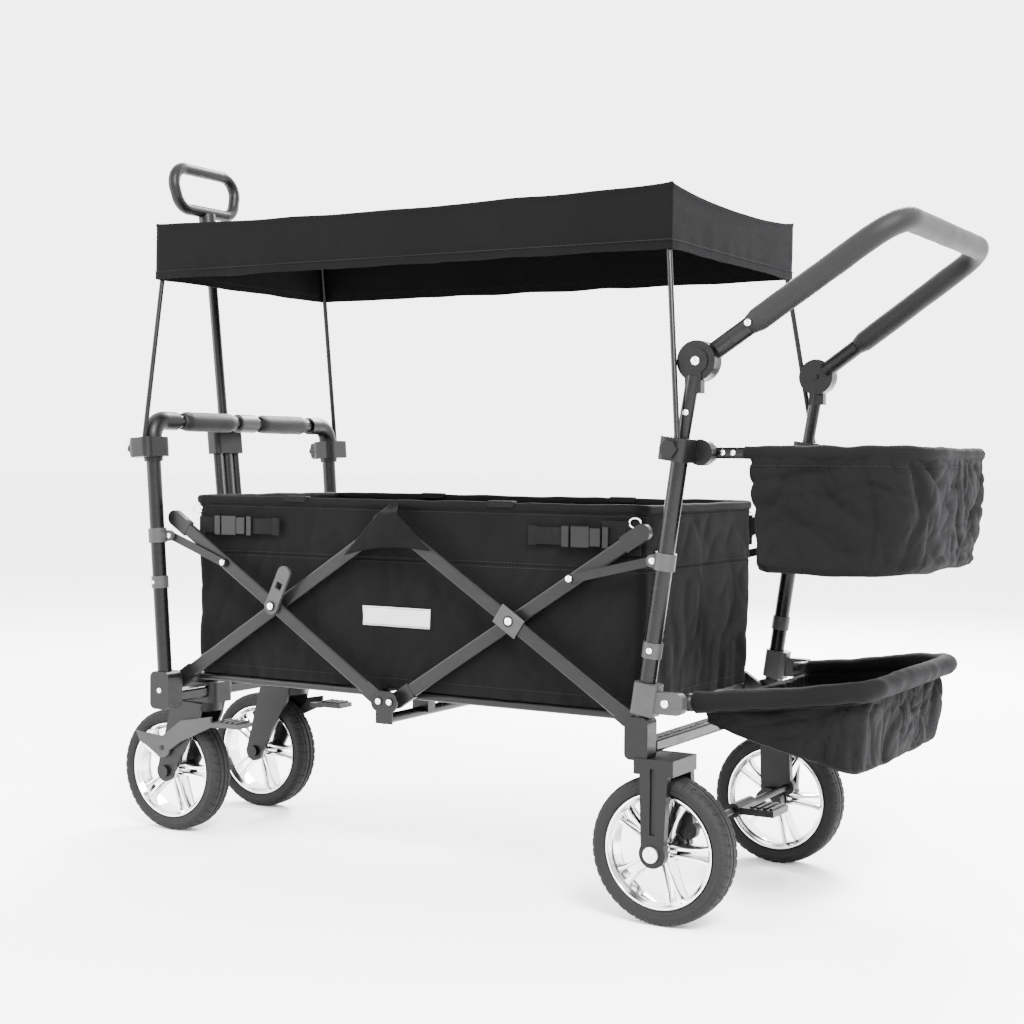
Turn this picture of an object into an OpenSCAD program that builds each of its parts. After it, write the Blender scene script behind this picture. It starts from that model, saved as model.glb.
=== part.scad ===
// Folding four-wheel pull wagon with a fabric tub, a flat sun canopy on four thin poles,
// two rear storage baskets, a push handle behind and a telescopic drawbar in front.
// Lengths are millimetres. X runs along the wagon: the drawbar is at -X, the push handle at +X.
// Side parts are drawn for +Y and mirrored to -Y. The scissor centre is the working origin,
// and place() moves the finished model so that the middle of its box is at X = 0.

/* [Wheels] */
// Diameter of all four wheels
wheel_d = 210; // [200:1:220]
// Width of a tyre
wheel_w = 45; // [38:1:48]
// Distance from a caster's swivel axis forward to its wheel axle
caster_trail = 58; // [50:1:62]
// Distance of the casters from the middle plane
caster_y = 120; // [112:1:128]
// Distance of the rear wheels from the middle plane
rear_wheel_y = 219; // [218:0.5:220]

/* [Side scissors] */
// Distance from the scissor centre to the end pivots
half_len = 425; // [400:1:450]
// Height of the lower row of pivots
pivot_low = 275; // [273:1:280]
// Height of the upper row of pivots
pivot_high = 545; // [530:1:560]
// Height of a flat bar's profile
bar_h = 24; // [20:1:25]
// Thickness of a flat bar's profile
bar_t = 10; // [8:0.5:10]
// Half the distance between the two pivots of a centre bracket
centre_gap = 10; // [10:0.5:12]

/* [Frame] */
// Distance of the upright posts from the middle plane
post_y = 241; // [241:0.5:244]
// Diameter of the upright posts
post_d = 24; // [22:0.5:24]
// Height of the straight front crossbar
crossbar_z = 705; // [700:1:715]
// Diameter of the foam on the push handle
foam_d = 33; // [30:0.5:34]
// Angle of the push handle above the horizontal
handle_rise = 34.4; // [30:0.1:38]
// Length of the push handle from its hubs to its grip
handle_reach = 326; // [310:1:340]

/* [Drawbar] */
// Height of the drawbar's pivot
draw_pivot_z = 252; // [250:1:256]
// Length from the drawbar's pivot to the middle of its grip
draw_len = 874; // [860:1:890]

/* [Fabric] */
// Height of the tub's floor
floor_z = 290; // [290:1:294]
// Height of the tub's rim
rim_z = 575; // [560:1:580]
// Height of the canopy's top
canopy_z = 1031; // [1020:1:1045]
// Depth of the canopy's hanging edge
valance = 93; // [80:1:100]
// Thickness of the fabric walls
cloth = 3; // [2:0.5:4]

/* [Baskets] */
// Distance from the scissor centre to the upper basket's outer end
basket_end = 815; // [810:1:830]
// Height of the upper basket's rail
upper_z = 658; // [650:1:665]
// Depth of the upper basket's bag
upper_depth = 158; // [130:1:165]

/* [Hidden] */
$fn = 48;

slip = 0.1;             // diameter added to a bore that a pin or a tube goes through
gap = 0.3;              // space between parts that touch without moving
wheel_r = wheel_d / 2;
rim_r = wheel_r * 0.77;
rim_w = wheel_w - 5;
axle_d = 12;
pin_d = 8;

// Layers across the wagon, as distances from the middle plane
inner_y0 = 205.5;                   // inner bars' inboard face
outer_y0 = inner_y0 + bar_t + 1.5;  // outer bars' inboard face
outer_y1 = outer_y0 + bar_t;        // outer bars' outboard face
plate_y0 = outer_y1 + 1.2;          // centre brackets and fold links
plate_t = 3;
latch_y0 = outer_y1 + 0.8;          // release lever
latch_t = 5;
latch_lean = 25;
tub_y = 200;                        // outside of the tub

// Post lines, as foot and top points in the X-Z plane
front_foot = [-427, 239];
front_top = [-460.5, 689];
rear_foot = [437, 251];
rear_top = [498, 676];
function line_x(a, b, z) = a[0] + (z - a[1]) * (b[0] - a[0]) / (b[1] - a[1]);
function front_x(z) = line_x(front_foot, front_top, z);
function rear_x(z) = line_x(rear_foot, rear_top, z);
front_lean = atan2(front_top[0] - front_foot[0], front_top[1] - front_foot[1]);
rear_lean = atan2(rear_top[0] - rear_foot[0], rear_top[1] - rear_foot[1]);
post_r = post_d / 2;

// Scissor pivots in the X-Z plane
p_low_front = [-half_len, pivot_low];
p_high_front = [-half_len, pivot_high];
p_low_rear = [half_len, pivot_low];
p_high_rear = [half_len, pivot_high];
bar_run = half_len - centre_gap;
bar_rise = pivot_high - pivot_low;
bar_angle = atan2(bar_rise, bar_run);
bar_len = norm([bar_run, bar_rise]);
fold_angle = 40;                    // each bar turns this far from open to folded
mid_front = [-(half_len + centre_gap) / 2, (pivot_low + pivot_high) / 2];
mid_rear = [-mid_front[0], mid_front[1]];

// A fold link's lug height: its pin is as far from the bar's stub when open as when folded
front_stub_s = 128;
rear_stub_s = 126;
lug_reach = 20;
folded_angle = bar_angle + fold_angle;
folded_rise = bar_len * sin(folded_angle);
function stub_open(s) = [s * cos(bar_angle), pivot_high - s * sin(bar_angle)];
function stub_folded(s) = [s * cos(folded_angle), pivot_low + folded_rise - s * sin(folded_angle)];
function lug_z(s, x) = let (a = stub_open(s), b = stub_folded(s))
  ((b * b - a * a) / 2 - x * (b[0] - a[0])) / (b[1] - a[1]);
front_lug_x = -428;
rear_lug_x = 452;
front_lug = [front_lug_x, lug_z(front_stub_s, front_lug_x + half_len)];
rear_lug = [rear_lug_x, lug_z(rear_stub_s, half_len - rear_lug_x)];
front_stub = [-half_len, 0] + stub_open(front_stub_s);
rear_stub = [half_len - stub_open(rear_stub_s)[0], stub_open(rear_stub_s)[1]];

// Casters
swivel_x = -452;
caster_x = swivel_x - caster_trail;
fork_top_z = 228;
fork_plate_t = 15;
brake_pivot = [caster_x - 2, 146];

// Rear wheels
rear_wheel_x = 467;
fork_out_y = 246;
leg_t = 12;
fork_in_y = 181;
brake_rod = [492, 129];

// Drawbar: u runs up its centre line from the pivot
draw_lean = 6.17;
draw_pivot_x = -462;
yoke_y = 24;
yoke_d = 14;
yoke_top = 432;
shaft_d = 17;

// Push handle hubs
hub = [517, 782];
hub_d = 56;
hub_in_y = 219.8;
hub_mid_y = 231.6;
hub_out_y = 243.5;
arm_d = 18.6;
push_d = 20;
push_y = (hub_in_y + hub_mid_y) / 2;
grip_y = 204;
grip_r = 50;
foam_start = 84;

// Canopy and its poles
canopy_front = -464;
canopy_rear = 474;
canopy_y = 231;
pole_d = 8;
pole_out = 266.5;
pole_in = 210;
front_pole = [[-458, pole_out, 646], [-454, pole_in, canopy_z - cloth - 2]];
rear_pole = [[503, pole_out, 650], [455, pole_in, canopy_z - cloth - 2]];

// Baskets
upper_pivot = [520, upper_z];
upper_y = 205;
rail_d = 16;
upper_rear_x = basket_end - rail_d / 2;
lower_pivot = [498, 313];
lower_rear = [752, 345];
lower_y = 222;
pad_d = 26;

front_end = caster_x - wheel_r;
shift_x = -(front_end + basket_end) / 2;

// ---------- helpers ----------

module place() { translate([shift_x, 0, 0]) children(); }
module both() { children(); mirror([0, 1, 0]) children(); }
module side(s) { if (s > 0) children(); else mirror([0, 1, 0]) children(); }
function unit(v) = v / norm(v);
function at(p, y) = [p[0], y, p[1]];

// A round bar between two points
module rod(a, b, d) {
  v = b - a;
  translate(a) rotate([0, acos(v[2] / norm(v)), atan2(v[1], v[0])]) cylinder(d = d, h = norm(v));
}
// A cylinder across the wagon at p, from y0 to y1
module pin(p, y0, y1, d) { translate(at(p, y0)) rotate([-90, 0, 0]) cylinder(d = d, h = y1 - y0); }
// A quarter or part bend that leaves direction a for direction b
module bend(corner, a, b, r, cut, d) {
  n = unit(b - a * (a * b));
  w = cross(-n, a);
  c = corner - a * cut + n * r;
  multmatrix([[-n[0], a[0], w[0], c[0]], [-n[1], a[1], w[1], c[1]], [-n[2], a[2], w[2], c[2]], [0, 0, 0, 1]])
    rotate_extrude(angle = acos(a * b)) translate([r, 0]) circle(d = d);
}
// A bent round bar through the points p, with bend radius r; a bend is a hair fatter than the
// straights, which reach a little way into it
module bent_rod(p, d, r) {
  k = len(p);
  dir = [for (i = [0:k - 2]) unit(p[i + 1] - p[i])];
  cut = [for (i = [0:k - 1]) i == 0 || i == k - 1 ? 0 : r * tan(acos(dir[i - 1] * dir[i]) / 2)];
  for (i = [0:k - 2]) {
    a = i == 0 ? 0 : cut[i] - 1;
    b = i == k - 2 ? 0 : cut[i + 1] - 1;
    rod(p[i] + dir[i] * a, p[i + 1] - dir[i] * b, d);
  }
  for (i = [1:k - 2]) bend(p[i], dir[i - 1], dir[i], r, cut[i], d + 0.4);
}
// A flat outline drawn in the X-Z plane and given thickness from y0 to y1
module slab(y0, y1) { translate([0, y1, 0]) rotate([90, 0, 0]) linear_extrude(y1 - y0) children(); }
// A box between two corners
module box(a, b) { translate(a) cube(b - a); }
// A rectangle with round corners, centred
module round_rect(w, h, r) {
  square([w - 2 * r, h], center = true);
  square([w, h - 2 * r], center = true);
  for (x = [-1, 1], y = [-1, 1]) translate([x * (w / 2 - r), y * (h / 2 - r)]) circle(r);
}
// A round-cornered bar of w by h along Y, from y0 to y1, centred on p
module beam(p, y0, y1, w, h, r) {
  translate([0, y1, 0]) rotate([90, 0, 0]) linear_extrude(y1 - y0) translate(p) round_rect(w, h, r);
}
// Moves children to a post's centre line at height z, tilted with the post
module on_post(z, front) {
  translate([front ? front_x(z) : rear_x(z), post_y, z]) rotate([0, front ? front_lean : rear_lean, 0])
    children();
}
module front_post_rod(d) { rod(at(front_foot, post_y), at(front_top, post_y), d); }
module rear_post_rod(d) { rod(at(rear_foot, post_y), at(rear_top, post_y), d); }

// ---------- front frame ----------

module front_posts() color("dimgray") place() both() front_post_rod(post_d);

beam_end_y = post_y - post_r - 2;
front_beam_p = [-431, 249];
yoke_ear_y = 34;
yoke_ear_t = 4;
draw_pivot = [draw_pivot_x, draw_pivot_z];
module front_beam_bar(grow) {
  beam(front_beam_p, -beam_end_y, beam_end_y, 26 + grow, 20 + grow, 5);
}
// The beam carries the two welded ears and the pin that the drawbar turns on
module front_beam() color("dimgray") place() {
  front_beam_bar(0);
  both() slab(yoke_ear_y, yoke_ear_y + yoke_ear_t) {
    translate(draw_pivot) circle(d = 24);
    translate([draw_pivot_x, draw_pivot_z - 12]) square([22, 20]);
  }
  pin(draw_pivot, -yoke_ear_y - yoke_ear_t - 3, yoke_ear_y + yoke_ear_t + 3, 10);
}

module front_foot_brackets() color("gray") place() both() difference() {
  union() {
    slab(beam_end_y - 4, post_y + post_r + 4) translate([-429, 262]) round_rect(40, 62, 10);
    pin(p_low_front, outer_y0, beam_end_y, 22);
    pin(p_low_front, inner_y0, beam_end_y, pin_d);
  }
  front_post_rod(post_d + slip);
  front_beam_bar(slip);
}

ring_h = 24;
ring_d = post_d + 6;
// Post rings, one of them with the lug that a fold link turns on
module front_post_clamps() color("darkgray") place() both() {
  difference() {
    union() {
      on_post(front_lug[1], true) translate([0, 0, -ring_h / 2]) cylinder(d = ring_d, h = ring_h);
      slab(plate_y0 + plate_t + gap, plate_y0 + plate_t + 6) {
        translate(front_lug) circle(d = 18);
        translate([front_lug[0] - lug_reach, front_lug[1] - 9]) square([lug_reach, 18]);
      }
      on_post(439, true) translate([0, 0, -10]) cylinder(d = ring_d - 2, h = 20);
    }
    front_post_rod(post_d + slip);
  }
  pin(front_lug, plate_y0 - 0.5, plate_y0 + plate_t + 1, 6);
}

elbow_d = post_d + 7;
elbow_r = 28;
crossbar_d = 22;
crossbar_end = post_y - 30;
module elbow_path(d) {
  bent_rod([[front_x(638), post_y, 638], [front_x(crossbar_z), post_y, crossbar_z],
    [front_x(crossbar_z), post_y - 58, crossbar_z]], d, elbow_r);
}
module crossbar_rod(d) {
  rod([front_x(crossbar_z), -crossbar_end, crossbar_z], [front_x(crossbar_z), crossbar_end, crossbar_z], d);
}
module crossbar_tube() color("dimgray") place() crossbar_rod(crossbar_d);
// A socket end: the straight bore that a post or the crossbar goes into
module crossbar_elbows() color("black") place() both() difference() {
  elbow_path(elbow_d);
  rod(at(front_foot, post_y), [front_x(690), post_y, 690], post_d + slip);
  crossbar_rod(crossbar_d + slip);
}
module crossbar_foam() color("black") place() both() difference() {
  rod([front_x(crossbar_z), 34, crossbar_z], [front_x(crossbar_z), 168, crossbar_z], crossbar_d + 11);
  crossbar_rod(crossbar_d + slip);
}

// Moves children into the drawbar's own frame: Z runs up its centre line from the pivot
module on_drawbar() translate(at(draw_pivot, 0)) rotate([0, -draw_lean, 0]) children();
draw_at_bar = draw_pivot_x - (crossbar_z - draw_pivot_z) * tan(draw_lean);
clip_y = 19;
slot_r = 14.2;                      // half the width of the clip's slot, which the lock's neck lies in
module drawbar_clip() color("darkgray") place() difference() {
  union() {
    rod([front_x(crossbar_z), -22, crossbar_z], [front_x(crossbar_z), 22, crossbar_z], crossbar_d + 10);
    box([draw_at_bar - 8, -clip_y, crossbar_z - 12], [front_x(crossbar_z) - 4, clip_y, crossbar_z + 12]);
  }
  crossbar_rod(crossbar_d + slip);
  on_drawbar() translate([-60, -slot_r, yoke_top - 10]) cube([60 + slot_r, 2 * slot_r, 90]);
}

mount_w = 56;
module caster_mounts() color("black") place() both() difference() {
  union() {
    translate([swivel_x + 6, caster_y, fork_top_z + 1]) linear_extrude(34) round_rect(76, mount_w, 12);
    translate([swivel_x, caster_y, fork_top_z + 1]) cylinder(d = 50, h = 50);
  }
  front_beam_bar(slip);
  translate([swivel_x, caster_y, fork_top_z]) cylinder(d = axle_d + slip, h = 45);
}

clamp_h = 32;
module front_pole_clamps() color("black") place() both() difference() {
  on_post(661, true) translate([0, 8, -clamp_h / 2]) linear_extrude(clamp_h) round_rect(44, 58, 12);
  elbow_path(elbow_d + slip);
  rod(front_pole[0], front_pole[1], pole_d + slip);
  on_post(661, true) translate([-23, 5, 0]) rotate([0, 90, 0]) cylinder(d = pin_d + slip, h = 7);
}
module front_canopy_poles() color("dimgray") place() both() rod(front_pole[0], front_pole[1], pole_d);

// A screw knob with a waisted rim and its short stem
knob_d = 32;
module front_knob(s) color("black") place() side(s) on_post(661, true) translate([0, 5, 0]) {
  translate([-22.4 - 14, 0, 0]) rotate([0, 90, 0]) difference() {
    cylinder(d = knob_d, h = 14);
    for (a = [0:60:300]) rotate([0, 0, a]) translate([knob_d / 2 + 4, 0, -1]) cylinder(d = 13, h = 16);
  }
  translate([-23, 0, 0]) rotate([0, 90, 0]) cylinder(d = pin_d, h = 6);
}
module front_knob_left() front_knob(1);
module front_knob_right() front_knob(-1);

// ---------- fabric ----------

// Flat canopy with a hanging edge all round
module canopy_fabric() color("black") place() difference() {
  box([canopy_front, -canopy_y, canopy_z - valance], [canopy_rear, canopy_y, canopy_z]);
  box([canopy_front + cloth, -canopy_y + cloth, canopy_z - valance - 1],
      [canopy_rear - cloth, canopy_y - cloth, canopy_z - cloth]);
}
tub_front = -402;
tub_rear = 421;
module tub_fabric() color("black") place() difference() {
  box([tub_front, -tub_y, floor_z], [tub_rear, tub_y, rim_z]);
  box([tub_front + cloth, -tub_y + cloth, floor_z + cloth], [tub_rear - cloth, tub_y - cloth, rim_z + 1]);
}
flap_y = plate_y0 + plate_t + 1.6;
// Cloth triangles that hang from the rim over the centre brackets
module side_flaps() color("black") place() both()
  slab(flap_y, flap_y + cloth) polygon([[-72, pivot_high - 46], [88, pivot_high - 36], [10, rim_z + 4], [-8, rim_z + 4]]);

// ---------- drawbar ----------

module drawbar_yoke() color("dimgray") place() on_drawbar() both() difference() {
  union() {
    translate([0, yoke_y, 0]) cylinder(d = yoke_d, h = yoke_top);
    translate([0, yoke_y - 8, 0]) rotate([-90, 0, 0]) cylinder(d = 22, h = 16);
  }
  translate([0, 0, 0]) rotate([-90, 0, 0]) cylinder(d = 10 + slip, h = 40);
}
sleeve_h = 40;
neck_d = 27;
neck_h = 62;
// Lock housing that ties the yoke tubes together and guides the shaft
module drawbar_sleeve() color("black") place() on_drawbar() difference() {
  translate([0, 0, yoke_top - 30]) union() {
    linear_extrude(sleeve_h) round_rect(28, 2 * yoke_y + 24, 9);
    cylinder(d = neck_d, h = neck_h);
  }
  cylinder(d = shaft_d + slip, h = yoke_top + 60);
  both() translate([0, yoke_y, 0]) cylinder(d = yoke_d + slip, h = yoke_top);
}
grip_low = draw_len - 38;
grip_high = draw_len + 34;
grip_tube = 20;
module drawbar_shaft() color("silver") place() on_drawbar()
  translate([0, 0, 52]) cylinder(d = shaft_d, h = grip_low - 52 - grip_tube / 2 - 10);
module drawbar_grip() color("black") place() on_drawbar() {
  bent_rod([[0, 0, grip_low], [0, 70, grip_low], [0, 91, grip_high], [0, -91, grip_high],
    [0, -70, grip_low], [0, 0, grip_low]], grip_tube, 30);
  difference() {
    translate([0, 0, grip_low - grip_tube / 2 - 34]) cylinder(d = 30, h = 40);
    translate([0, 0, grip_low - grip_tube / 2 - 40]) cylinder(d = shaft_d + slip, h = 30);
  }
}

// ---------- wheels ----------

// A tyre with round shoulders and a shallow centre groove, about the Y axis at the origin
module tyre() rotate([90, 0, 0]) rotate_extrude($fn = 96) difference() {
  translate([(rim_r + wheel_r) / 2, 0]) round_rect(wheel_r - rim_r - gap, wheel_w, 9);
  for (y = [-10, 0, 10]) translate([wheel_r - gap / 2, y]) circle(1.4, $fn = 24);
}
hub_r = 17;
spokes = 5;
// A rim with a hub and five pairs of spokes
module rim() difference() {
  union() {
    rotate([90, 0, 0]) rotate_extrude($fn = 96) {
      translate([rim_r - 5, -rim_w / 2]) square([5, rim_w]);
      translate([rim_r - 11, -4]) square([8, 8]);
    }
    rotate([90, 0, 0]) cylinder(r = hub_r, h = rim_w + 4, center = true);
    for (i = [0:spokes - 1], s = [-1, 1]) rotate([0, i * 360 / spokes, 0]) rotate([0, s * 9, 0])
      translate([hub_r - 4, -7, -3.5]) cube([rim_r - hub_r - 2, 14, 7]);
  }
  rotate([90, 0, 0]) cylinder(d = axle_d + slip, h = rim_w + 10, center = true);
}
module at_caster(s) translate([caster_x, s * caster_y, wheel_r]) children();
module at_rear(s) translate([rear_wheel_x, s * rear_wheel_y, wheel_r]) children();
module caster_tyre_left() color("black") place() at_caster(1) tyre();
module caster_tyre_right() color("black") place() at_caster(-1) tyre();
module caster_rim_left() color("silver") place() at_caster(1) rim();
module caster_rim_right() color("silver") place() at_caster(-1) rim();
module rear_tyre_left() color("black") place() at_rear(1) tyre();
module rear_tyre_right() color("black") place() at_rear(-1) tyre();
module rear_rim_left() color("silver") place() at_rear(1) rim();
module rear_rim_right() color("silver") place() at_rear(-1) rim();

// ---------- casters ----------

fork_in = wheel_w / 2 + 3;
fork_out = fork_in + 6.5;
// Swivelling fork: top plate, stem, two tapered legs and the wheel's bolt
module caster_fork(s) color("black") place() side(s) {
  translate([swivel_x, caster_y, fork_top_z - fork_plate_t]) cylinder(d = 2 * fork_out, h = fork_plate_t);
  translate([swivel_x - 44, caster_y - fork_out, fork_top_z - fork_plate_t])
    cube([44, 2 * fork_out, fork_plate_t]);
  translate([swivel_x, caster_y, fork_top_z - 1]) cylinder(d = axle_d, h = 44);
  for (k = [-1, 1]) {
    y0 = caster_y + (k > 0 ? fork_in : -fork_out);
    slab(y0, y0 + fork_out - fork_in) {
      polygon([[swivel_x - 44, fork_top_z - 1], [swivel_x + 22, fork_top_z - 1], [swivel_x + 16, fork_top_z - 26],
        [caster_x + 17, wheel_r - 4], [caster_x - 17, wheel_r + 4]]);
      translate([caster_x, wheel_r]) circle(18);
    }
  }
  pin([caster_x, wheel_r], caster_y - fork_out - 1, caster_y + fork_out + 1, axle_d);
  for (k = [-1, 1]) pin([caster_x, wheel_r], caster_y + k * (fork_out + 3) - 3, caster_y + k * (fork_out + 3) + 3, 20);
  pin(brake_pivot, caster_y + fork_out - 1, caster_y + fork_out + 8, pin_d);
}
module caster_fork_left() caster_fork(1);
module caster_fork_right() caster_fork(-1);

lever_y = fork_out + 1.5;
lever_t = 5;
// Foot brake lever: a bowed plate beside the outer leg, with a pedal behind the wheel
module caster_brake(s) color("lightgray") place() side(s) difference() {
  union() {
    slab(caster_y + lever_y, caster_y + lever_y + lever_t) {
      translate(brake_pivot) circle(17);
      polygon([[-571, 170], [-563, 154], brake_pivot + [0, -14], [-470, 160], [-404, 190],
        [-404, 208], [-470, 196], brake_pivot + [0, 20]]);
    }
    box([-410, caster_y + 4, 190], [-386, caster_y + lever_y + lever_t, 198]);
    box([-392, caster_y + 4, 192], [-342, caster_y + lever_y + 8, 200]);
    for (i = [0:3]) box([-386 + i * 11, caster_y + 6, 199.5], [-381 + i * 11, caster_y + lever_y + 6, 203]);
  }
  pin(brake_pivot, caster_y, caster_y + lever_y + 20, pin_d + slip);
}
module caster_brake_left() caster_brake(1);
module caster_brake_right() caster_brake(-1);

// ---------- side scissors ----------

cap_d = bar_h + 1;
// A flat bar from a to b in the layer that starts at y0: a slim tube with moulded ends
module flat_bar(a, b, y0) {
  d = b - a;
  ang = atan2(d[1], d[0]);
  l = norm(d);
  translate(at(a, y0 + bar_t / 2)) rotate([0, -ang, 0]) {
    translate([10, 0, 0]) rotate([90, 0, 90]) linear_extrude(l - 20) round_rect(bar_t - 1, bar_h - 2, 3.5);
    for (x = [0, l]) translate([x, 0, 0]) rotate([90, 0, 0]) cylinder(d = cap_d, h = bar_t, center = true);
    for (x = [0, l - 34]) translate([x, -bar_t / 2, -cap_d / 2]) cube([34, bar_t, cap_d]);
    translate([l / 2, 0, 0]) rotate([90, 0, 0]) cylinder(d = cap_d + 3, h = bar_t, center = true);
  }
}
stub_d = 12;
c_low = [centre_gap, pivot_low];
c_high = [centre_gap, pivot_high];
function mx(p) = [-p[0], p[1]];

module front_outer_bars() color("dimgray") place() both() {
  difference() {
    flat_bar(p_high_front, mx(c_low), outer_y0);
    for (p = [mx(c_low), mid_front]) pin(p, outer_y0 - 1, outer_y1 + 1, pin_d + slip);
  }
  pin(front_stub, outer_y1 - 1, plate_y0 - 0.6, stub_d);
}
// The crossing pin is longer on the -Y side, where the release lever turns on it too
module front_inner_bars() color("dimgray") place() {
  both() difference() {
    flat_bar(p_low_front, mx(c_high), inner_y0);
    for (p = [p_low_front, mx(c_high)]) pin(p, inner_y0 - 1, inner_y0 + bar_t + 1, pin_d + slip);
  }
  pin(mid_front, inner_y0 + 1, plate_y0 + 1, pin_d);
  pin(mid_front, plate_y0 - 0.9, plate_y0 + 1.4, 17);
  mirror([0, 1, 0]) {
    pin(mid_front, inner_y0 + 1, latch_y0 + latch_t + 1, pin_d);
    pin(mid_front, latch_y0 + latch_t + gap, latch_y0 + latch_t + 2.6, 15);
  }
}
module rear_outer_bars() color("dimgray") place() both() difference() {
  flat_bar(c_high, p_low_rear, outer_y0);
  for (p = [c_high, mid_rear, p_low_rear]) pin(p, outer_y0 - 1, outer_y1 + 1, pin_d + slip);
}
module rear_inner_bars() color("dimgray") place() both() {
  difference() {
    flat_bar(c_low, p_high_rear, inner_y0);
    pin(c_low, inner_y0 - 1, inner_y0 + bar_t + 1, pin_d + slip);
  }
  pin(mid_rear, inner_y0 + 1, plate_y0 + 1, pin_d);
  pin(mid_rear, plate_y0 - 0.9, plate_y0 + 1.4, 17);
  pin(rear_stub, inner_y0 + bar_t - 1, plate_y0 - 0.6, stub_d);
}

// Plate with two pivot pins, one for each bar that meets there
module centre_plate(z, front_pin_y, rear_pin_y, drop) {
  slab(plate_y0, plate_y0 + plate_t) {
    translate([0, z]) round_rect(2 * centre_gap + 28, 32, 14);
    translate([-15, z - drop]) square([30, drop]);
  }
  for (q = [[-centre_gap, front_pin_y], [centre_gap, rear_pin_y]]) {
    pin([q[0], z], q[1], plate_y0 + 1, pin_d);
    pin([q[0], z], plate_y0 + plate_t - 1, plate_y0 + plate_t + 1.2, 14);
  }
}
module top_centre_brackets() color("lightgray") place() both() centre_plate(pivot_high, inner_y0, outer_y0, 1);
cross_z = pivot_low - 27;
saddle_y = 120;
floor_pin = [12, pivot_low + 6];
// Lower centre plates, the tube that joins them and the saddles that the floor halves turn on
module bottom_centre_frame() color("dimgray") place() {
  both() {
    centre_plate(pivot_low, outer_y0, inner_y0, 34);
    slab(saddle_y - 10, saddle_y + 10) {
      translate([-15, cross_z]) square([30, floor_pin[1] - cross_z]);
      for (x = [-floor_pin[0], floor_pin[0]]) translate([x, floor_pin[1]]) circle(5);
    }
  }
  pin([0, cross_z], -plate_y0 - 1, plate_y0 + 1, 16);
  for (x = [-floor_pin[0], floor_pin[0]]) pin([x, floor_pin[1]], -saddle_y, saddle_y, 5);
}
panel_t = 6;
panel_y = 186;
rail_y = 191;
// One half of the stiff floor, with its round side rails and hinge barrel; it lies towards -X
module floor_panel(x_end) difference() {
  union() {
    box([x_end, -panel_y, floor_z - gap - panel_t], [-floor_pin[0] - 8, panel_y, floor_z - gap]);
    both() rod([x_end, rail_y, floor_z - 8], [-30, rail_y, floor_z - 8], 12);
    pin([-floor_pin[0], floor_pin[1]], -saddle_y + 12, saddle_y - 12, 10);
    box([-floor_pin[0] - 10, -saddle_y + 12, floor_z - gap - panel_t], [-floor_pin[0], saddle_y - 12, floor_z - 5]);
  }
  pin([-floor_pin[0], floor_pin[1]], -saddle_y, saddle_y, 5 + slip);
}
module floor_panel_front() color("black") place() floor_panel(tub_front + 8);
module floor_panel_rear() color("black") place() mirror([1, 0, 0]) floor_panel(-tub_rear + 8);

// Release lever of the fold lock, on the -Y side, with a square finger hole; it turns on the
// same pin as the crossing bars
module fold_latch() color("lightgray") place() mirror([0, 1, 0]) difference() {
  slab(latch_y0, latch_y0 + latch_t) translate(mid_front) rotate(-latch_lean) difference() {
    union() {
      circle(13);
      translate([-12, 2]) square([24, 56]);
      translate([0, 58]) circle(12);
    }
    translate([-6, 30]) square([12, 12]);
  }
  pin(mid_front, latch_y0 - 1, latch_y0 + latch_t + 1, pin_d + slip);
}

link_w = 13;
// A flat fold link from its lug pin to just outside the bar's stub
module fold_link(a, b) difference() {
  slab(plate_y0, plate_y0 + plate_t) {
    for (p = [a, b]) translate(p) circle(d = link_w + 2);
    translate(a) rotate(atan2(b[1] - a[1], b[0] - a[0])) translate([0, -link_w / 2]) square([norm(b - a), link_w]);
  }
  pin(a, plate_y0 - 1, plate_y0 + plate_t + 1, 6 + slip);
}
module front_links() color("darkgray") place() both() {
  fold_link(front_lug, front_stub);
  pin(front_stub, plate_y0 + plate_t - 1, plate_y0 + plate_t + 2, 11);
}
module rear_links() color("darkgray") place() both() {
  fold_link(rear_lug, rear_stub);
  pin(rear_stub, plate_y0 + plate_t - 1, plate_y0 + plate_t + 2, 11);
}

// ---------- rear frame ----------

module rear_posts() color("dimgray") place() both() rear_post_rod(post_d);
rear_beam_p = [447, 250];
module rear_beam_bar(grow) { beam(rear_beam_p, -beam_end_y, beam_end_y, 24 + grow, 20 + grow, 5); }
module rear_beam() color("dimgray") place() rear_beam_bar(0);

fork_block_z = wheel_d + 4;
// Post foot, wheel fork and the bar's lower pivot pin in one moulding for each side
module rear_forks() color("black") place() both() difference() {
  union() {
    box([438, fork_in_y - 1, fork_block_z], [498, fork_out_y + leg_t + 1, 236]);
    slab(outer_y1 + 0.4, post_y + post_r + 4) translate([440, 262]) round_rect(36, 60, 9);
    slab(fork_out_y, fork_out_y + leg_t) {
      polygon([[446, 226], [490, 226], [rear_wheel_x + 17, wheel_r], [rear_wheel_x - 17, wheel_r]]);
      translate([rear_wheel_x, wheel_r]) circle(20);
    }
    slab(fork_in_y, fork_in_y + leg_t) {
      polygon([[446, 226], [494, 226], [brake_rod[0] + 8, brake_rod[1]], [rear_wheel_x - 17, wheel_r]]);
      translate([rear_wheel_x, wheel_r]) circle(20);
      translate(brake_rod) circle(13);
    }
    pin(p_low_rear, outer_y0, outer_y1 + 3, pin_d);
  }
  rear_post_rod(post_d + slip);
  rear_beam_bar(slip);
  slab(fork_out_y + leg_t - 3, fork_out_y + leg_t + 1) translate([rear_wheel_x - 4, wheel_r + 26]) square([8, 92]);
  pin([rear_wheel_x, wheel_r], 0, fork_out_y + 20, axle_d + slip);
  pin(brake_rod, fork_in_y - 1, fork_in_y + leg_t + 1, 10 + slip);
}
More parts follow.
